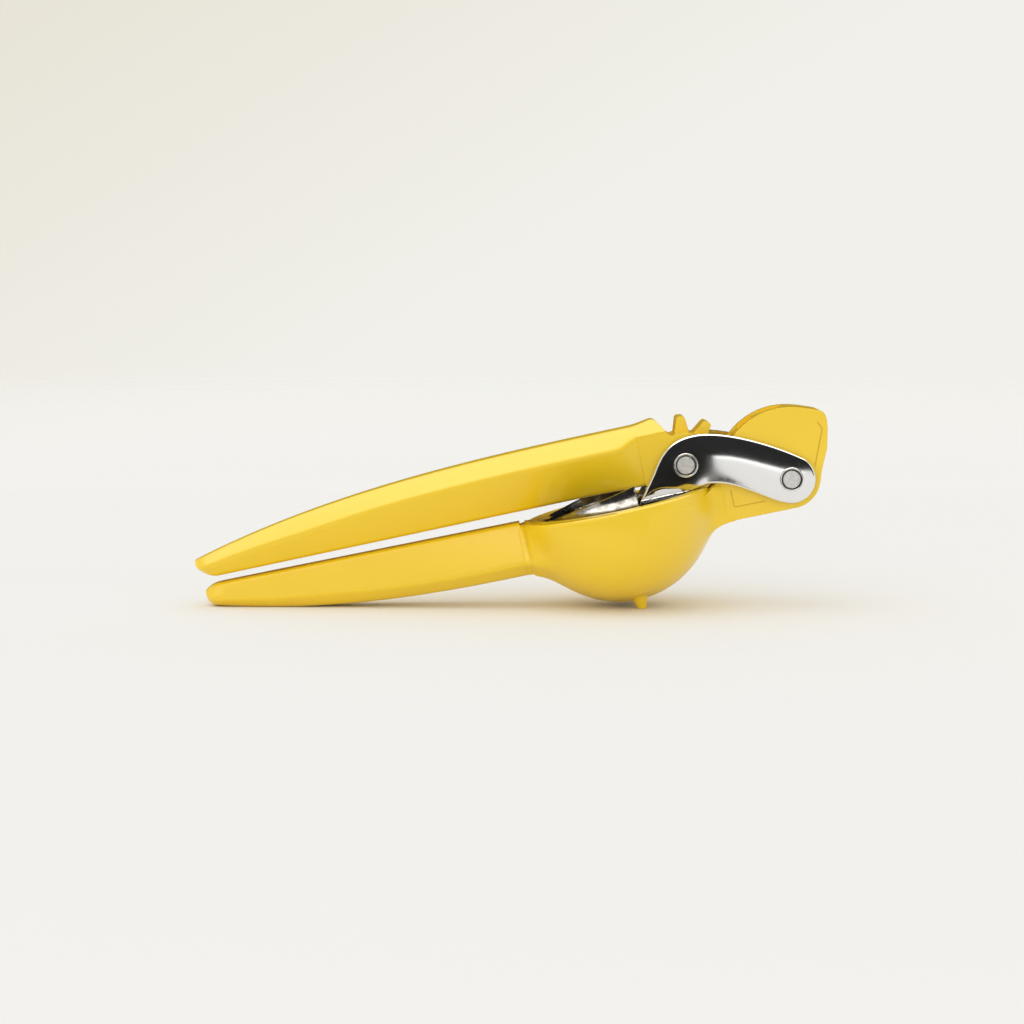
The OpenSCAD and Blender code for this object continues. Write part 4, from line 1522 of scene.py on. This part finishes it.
@dataclass
class Casting(Assembly):
    """The lower body's housing, with a smooth skin where bowl, neck and arm flow together."""

    grip: LowerGrip = field(default_factory=LowerGrip)
    bowl_r: float = 36.8
    rim_z: float = 1.7
    rim_round: float = 3.2
    arm_half: float = 10.7
    arm_fillet: float = 12.0
    arm_fade: float = 3.5
    arm_low: float = -13.6
    arm_to: float = 42.9
    neck_fillet: float = 14.0
    neck_fade: float = 2.5
    neck_soft: float = 1.6
    neck_in: float = 0.45  # share of the softness that the neck's flat faces give up
    neck_top: float = 9.0
    neck_drop: float = 2.5
    neck_drop_power: float = 1.3
    neck_widen: float = 2.0
    neck_end: float = -0.6  # where the neck ends inside the bowl, as a share of its radius
    crease_up: float = 5.33
    crease_follow: float = 0.9
    least_fillet: float = 0.3
    root_x: float = 2.0  # arm and neck start this far from the bowl's middle
    proud: float = 0.04  # how far the skin stands off the casting
    lap: float = 1.2  # how far it laps over the lower grip
    thick: float = 1.1
    cell: float = 0.62
    wall: float = 4.6  # how deep it reaches into the bowl's wall
    reach: float = 47.5
    relief_r: float = 13.4  # left open round the pinion
    drain_r: float = 15.0  # left open over the drain slots
    cover_in: float = 0.8  # how deep in the bowl's surface the skin stands for faces
    cover_neck: float = 44.6  # and how far out, along the neck
    cover_arm: float = 46.4  # and along the arm
    cover_past: float = 0.05
    cover_low: float = -30.0
    cover_top: float = -2.5
    grid_past: float = 9.0
    grid_in: float = 8.0
    grid_top: float = 4.0
    crisp: float = 50.0

    def neck(self, x: float) -> list[Point2]:
        """Draws the neck's section: the grip's own, wider and deeper into the bowl.

        Args:
            x: Where it lies along the tool.

        Returns:
            The section's corners, which the neck's softness then rounds.
        """
        grip, form, soft = self.grip, self.grip.form, self.neck_soft
        t = min(1.0, max(0.0, (x - grip.seam) / (self.neck_end * self.bowl_r - grip.seam)))
        low = grip.inner_z - grip.depth
        drop, wide = self.neck_drop * t ** self.neck_drop_power, self.neck_widen * t * t
        inner = form.inner_w / 2
        top = self.rim_z + (grip.inner_z - self.rim_z) * (1 - ease(t * 3))
        crease = form.half(grip.seam, grip.tip) + wide
        outer_half = grip.outer_half * crease / (form.width / 2)
        half = [inner + (self.neck_top - inner) * ease(t) - soft * self.neck_in, crease - soft,
                outer_half - wide - soft * self.neck_in]
        height = [top - soft, low + self.crease_up - drop * self.crease_follow, low - drop + soft]
        right = list(zip(half, height))
        return right + [(-y, z) for y, z in reversed(right)]

    def arm(self, x: float, y: np.ndarray, z: np.ndarray) -> np.ndarray:
        """Measures places in one slice against the arm's root.

        Args:
            x: Where the slice lies along the tool.
            y: Each place across the tool.
            z: Each place's height.

        Returns:
            The distances, negative inside.
        """
        out_y, out_z = np.abs(y) - self.arm_half, self.arm_low - z
        outside = np.hypot(np.maximum(out_y, 0), np.maximum(out_z, 0))
        return np.maximum(np.minimum(np.maximum(out_y, out_z), 0) + outside, self.root_x - x)

    def distances(self, xs: np.ndarray, ys: np.ndarray, zs: np.ndarray) -> np.ndarray:
        """Measures a grid of places against the skin over the blended casting.

        Args:
            xs: The grid's places along the tool.
            ys: Its places across the tool.
            zs: Its heights.

        Returns:
            The distances, negative inside the skin.
        """
        y, z = np.meshgrid(ys, zs, indexing="ij")
        out = np.empty((len(xs), len(ys), len(zs)))
        for i, x in enumerate(xs):
            far = np.sqrt(x * x + y * y + z * z)
            if x > 0:
                part = self.arm(x, y, z)
                fillet = self.arm_fillet * ease((self.arm_to - x) / self.arm_fade)
            else:
                neck = polygon_distance(y, z, self.neck(x)) - self.neck_soft
                part = np.maximum(neck, x + self.root_x)
                fillet = self.neck_fillet * ease((x - self.grip.seam) / self.neck_fade)
            body = soft_join(far - self.bowl_r, part, self.least_fillet + fillet)
            body = soft_cut(body, z - self.rim_z, self.rim_round)
            shell = np.maximum(body - self.proud, -body - self.thick)
            pinion = self.relief_r - np.hypot(x - TOOL.pinion_pin[0], z - TOOL.pinion_pin[1])
            drain = np.where(z < 0, self.drain_r - np.hypot(x, y), -9)
            ends = max(x - self.arm_to, self.grip.seam - self.lap - x)
            out[i] = np.maximum.reduce([shell, far - self.reach, self.bowl_r - self.wall - far,
                                        pinion, drain, np.full_like(y, ends)])
        return out

    def covered(self, p: Vector) -> bool:
        """Tells whether the skin stands for the casting's surface at a place.

        Args:
            p: The place, in tool millimetres.

        Returns:
            Whether it does.
        """
        near = self.bowl_r - self.cover_in
        if p.x < 0:
            return near < p.length < self.cover_neck and p.z > self.cover_low
        return (near < p.length < self.cover_arm and p.x < self.arm_to + self.cover_past
                and self.cover_low < p.z < self.cover_top)

    def bare(self) -> bpy.types.Object:
        """Builds what the skin leaves bare of the housing: inside, hinge, hood and feet.

        Returns:
            The housing.
        """
        mesh = frame["nodes"]["bowl_housing"].data.copy()
        back = TOOL.back()
        made = bmesh.new()
        made.from_mesh(mesh)
        hidden = {v for v in made.verts if self.covered(back @ v.co)}
        faces = [f for f in made.faces if all(v in hidden for v in f.verts)]
        bmesh.ops.delete(made, geom=faces, context="FACES")
        made.to_mesh(mesh)
        made.free()
        thing = placed("bowl_housing_body", mesh)
        return settle(thing, Coats.PAINT_HOUSING, "lower", "bowl_housing")

    def skin(self) -> bpy.types.Object:
        """Builds the skin, which is no wider than the housing.

        Returns:
            The skin.
        """
        past, inside = self.bowl_r + self.grid_past, self.bowl_r + self.grid_past - self.grid_in
        start = self.grip.seam - self.lap - 2 * self.cell
        low = -self.bowl_r - self.grid_past + self.grid_in
        axes = [np.arange(a, b, self.cell)
                for a, b in ((start, past), (low, inside), (low, self.grid_top))]
        points, faces = skin_net(self.distances(*axes), axes)
        mesh = bpy.data.meshes.new("bowl_blend_skin")
        mesh.from_pydata(points.tolist(), [], faces.tolist())
        mesh.transform(TOOL.matrix())
        for vertex in mesh.vertices:
            vertex.co.y = max(CAD_BOX[0][1], min(CAD_BOX[1][1], vertex.co.y))
        shade(mesh, self.crisp)
        return settle(placed("bowl_blend_skin", mesh), Coats.PAINT, "lower")

    def build(self) -> list[bpy.types.Object]:
        """Returns the housing and the skin over it."""
        return [self.bare(), self.skin()]


# ---------------------------------------------------------------- pieces kept from the frame
@dataclass
class KeptPieces(Assembly):
    """Pieces whose solid is right as it is, grouped by their finish."""

    groups: tuple[tuple[Coats, tuple[str, ...]], ...] = (
        (Coats.PAINT_HEAD, ("pinion_head",)),
        (Coats.PAINT, ("upper_grip_plate", "lower_grip_plate")),
        (Coats.SHEET, ("strainer_basket",)),
        (Coats.PIN, ("lower_tang_screws", "upper_tang_screws")),
        (Coats.POLYMER, ("base_sleeve", "pinion_sleeve", "front_base_washer", "rear_base_washer",
                         "front_pinion_washer", "rear_pinion_washer")))

    def build(self) -> list[bpy.types.Object]:
        """Dresses every kept piece.

        Returns:
            The pieces.
        """
        made: list[bpy.types.Object] = []
        for coat, names in self.groups:
            for name in names:
                made.append(frame["nodes"][name])
                coat.value.dress(made[-1])
        return made


# ---------------------------------------------------------------- studio
@dataclass(frozen=True)
class Card:
    """A card that only reflections see, flat on a plane of the studio, in metres."""

    name: str
    coat: Coats
    corners: tuple[Point3, ...]

    def build(self, end: str, side: int) -> None:
        """Sets the card up in front of the tool or behind it.

        Args:
            end: The end of its name.
            side: -1 for in front and 1 for behind.
        """
        mesh = bpy.data.meshes.new(self.name)
        corners = [(x, y * side, z) for x, y, z in self.corners]
        mesh.from_pydata(corners, [], [tuple(range(len(corners)))])
        thing = placed(f"{self.name}_{end}", mesh)
        self.coat.value.dress(thing)
        thing.visible_camera = False
        thing.visible_diffuse = False
        thing.visible_shadow = False
        thing.visible_transmission = False


@dataclass
class Studio:
    """A pale table and surround, two broad lamps, and cards that only reflections see."""

    sky: Rgb = linear(241, 240, 234)
    # painted shade: the surround's colour darkens upwards and to the left
    dusk: Rgb = linear(232, 228, 216)
    dusk_up: float = 0.9  # the surround darkens upwards
    dusk_side: float = 0.55  # and to the left
    dusk_gain: float = 5.5
    fill: Rgb = (0.9, 0.9, 0.9)
    ambient: float = 0.92
    ceiling: float = 1.9
    ceiling_from: float = 0.66
    ceiling_gain: float = 6.0
    table_half: float = 30.0
    table_drop: float = 0.00005
    foot_z: float = 1.5
    foot_x: float = 8.0

    def table(self) -> None:
        """Builds the wide pale table."""
        w = self.table_half
        mesh = bpy.data.meshes.new("pale_table")
        mesh.from_pydata([(-w, -w, 0), (w, -w, 0), (w, w, 0), (-w, w, 0)], [], [(0, 1, 2, 3)])
        thing = placed("pale_table", mesh)
        thing.location.z = -self.table_drop
        Coats.TABLE.value.dress(thing)

    def surround(self) -> None:
        """Sets a pale surround, darkened upwards and to the left as painted shade, with a bright
        ceiling that only shines show.
        """
        world = bpy.data.worlds.new("studio")
        bpy.context.scene.world = world
        world.use_nodes = True
        graph = Graph(world.node_tree)
        rays = graph.node("ShaderNodeLightPath", {}, {})
        camera, glossy = rays.output("Is Camera Ray"), rays.output("Is Glossy Ray")
        toward = graph.node("ShaderNodeTexCoord", {}, {}, "Generated")
        side = graph.node("ShaderNodeSeparateXYZ", {}, {0: toward})
        up = side.output(2)
        corner = ((up * self.dusk_up - side * self.dusk_side) * self.dusk_gain).clamped(0, 1)
        tone = graph.mix_colour(corner, self.sky, self.dusk)
        overhead = ((up - self.ceiling_from) * self.ceiling_gain).clamped(0, 1)
        seen = (camera + glossy + rays.output("Is Transmission Ray")).clamped(0, 1)
        strength = self.ambient + seen * (1 - self.ambient) + overhead * glossy * self.ceiling
        feeds = {"Color": graph.mix_colour(seen, self.fill, tone), "Strength": strength}
        graph.finish(graph.node("ShaderNodeBackground", {}, feeds), "ShaderNodeOutputWorld")

    def lamp(self, name: str, toward: Point3, power: float, spread: float) -> None:
        """Adds one far, broad lamp.

        Args:
            name: The lamp's name.
            toward: The direction in which it stands.
            power: Its strength.
            spread: How wide it looks, in degrees.
        """
        light = bpy.data.lights.new(name, "SUN")
        light.energy = power
        light.angle = math.radians(spread)
        placed(name, light).rotation_euler = Vector(toward).to_track_quat("Z", "Y").to_euler()

    def foot_card(self, name: str, coat: Coats, near: float, far: float, end: float) -> Card:
        """Makes a low card beside the links' feet, inside the tool, that only reflections see: it
        paints a reflection on the feet.

        Args:
            name: The card's name.
            coat: Its finish.
            near: Its near edge across the tool, in tool millimetres.
            far: Its far edge across the tool.
            end: Its end along the tool.

        Returns:
            The card.
        """
        there = TOOL.matrix()
        places = ((self.foot_x, near), (end, near), (end, far), (self.foot_x, far))
        return Card(name, coat, tuple(tuple(there @ Vector((*p, self.foot_z))) for p in places))

    def build(self) -> None:
        """Sets up table, surround, lamps and cards."""
        self.table()
        self.surround()
        self.lamp("overhead", (-0.3, -0.12, 0.93), power=0.38, spread=50)
        self.lamp("front_fill", (-0.25, -0.92, 0.3), power=0.6, spread=70)
        upper = ((-0.5, 0.062), (0.9, 0.062), (0.9, 0.7), (-0.5, 0.7))
        left = ((-0.6, 0.012), (0.07, 0.012), (0.074, 0.0), (0.089, 0.0), (0.0845, 0.045),
                (0.083, 0.07), (-0.6, 0.07))
        # the two foot cards paint a white and a dark reflection on the links' chrome feet
        cards = [self.foot_card("foot_painted_white_reflection", Coats.WHITE_CARD, near=15.2, far=20.5, end=25.0),
                 self.foot_card("foot_painted_dark_reflection", Coats.BLACK_CARD, near=20.5, far=28.6, end=20.0),
                 Card("upper_card", Coats.BLACK_CARD, tuple((x, 0.55, z) for x, z in upper)),
                 Card("left_card", Coats.BLACK_CARD, tuple((x, 0.09, z) for x, z in left))]
        for end, side in (("front", -1), ("rear", 1)):
            for card in cards:
                card.build(end, side)


@dataclass
class Eye:
    """The camera: a long lens, a little above the table, looking slightly down."""

    place: Point3 = (0.00109, -1.0, 0.13224)
    pitch: float = 5.4686
    lens: float = 90.70
    sensor: float = 36.0
    clip_end: float = 80.0

    def build(self) -> None:
        """Makes the camera the scene's own."""
        data = bpy.data.cameras.new("eye")
        data.lens = self.lens
        data.sensor_width = self.sensor
        data.clip_end = self.clip_end
        camera = placed("eye", data)
        camera.location = self.place
        camera.rotation_euler = (math.radians(90 - self.pitch), 0, 0)
        bpy.context.scene.camera = camera


def main() -> None:
    """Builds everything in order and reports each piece."""
    logging.basicConfig(level=logging.INFO, format="%(message)s")
    bpy.context.scene.view_settings.view_transform = "Standard"
    Eye().build()
    Studio().build()
    for assembly in (UpperGrip(), LowerGrip(), SideLinks(), PressCup(), Casting(), KeptPieces()):
        for piece in assembly.build():
            LOG.info("%s: %s, %d faces", type(assembly).__name__, piece.name,
                     len(piece.data.polygons))


if __name__ == "__main__":
    main()
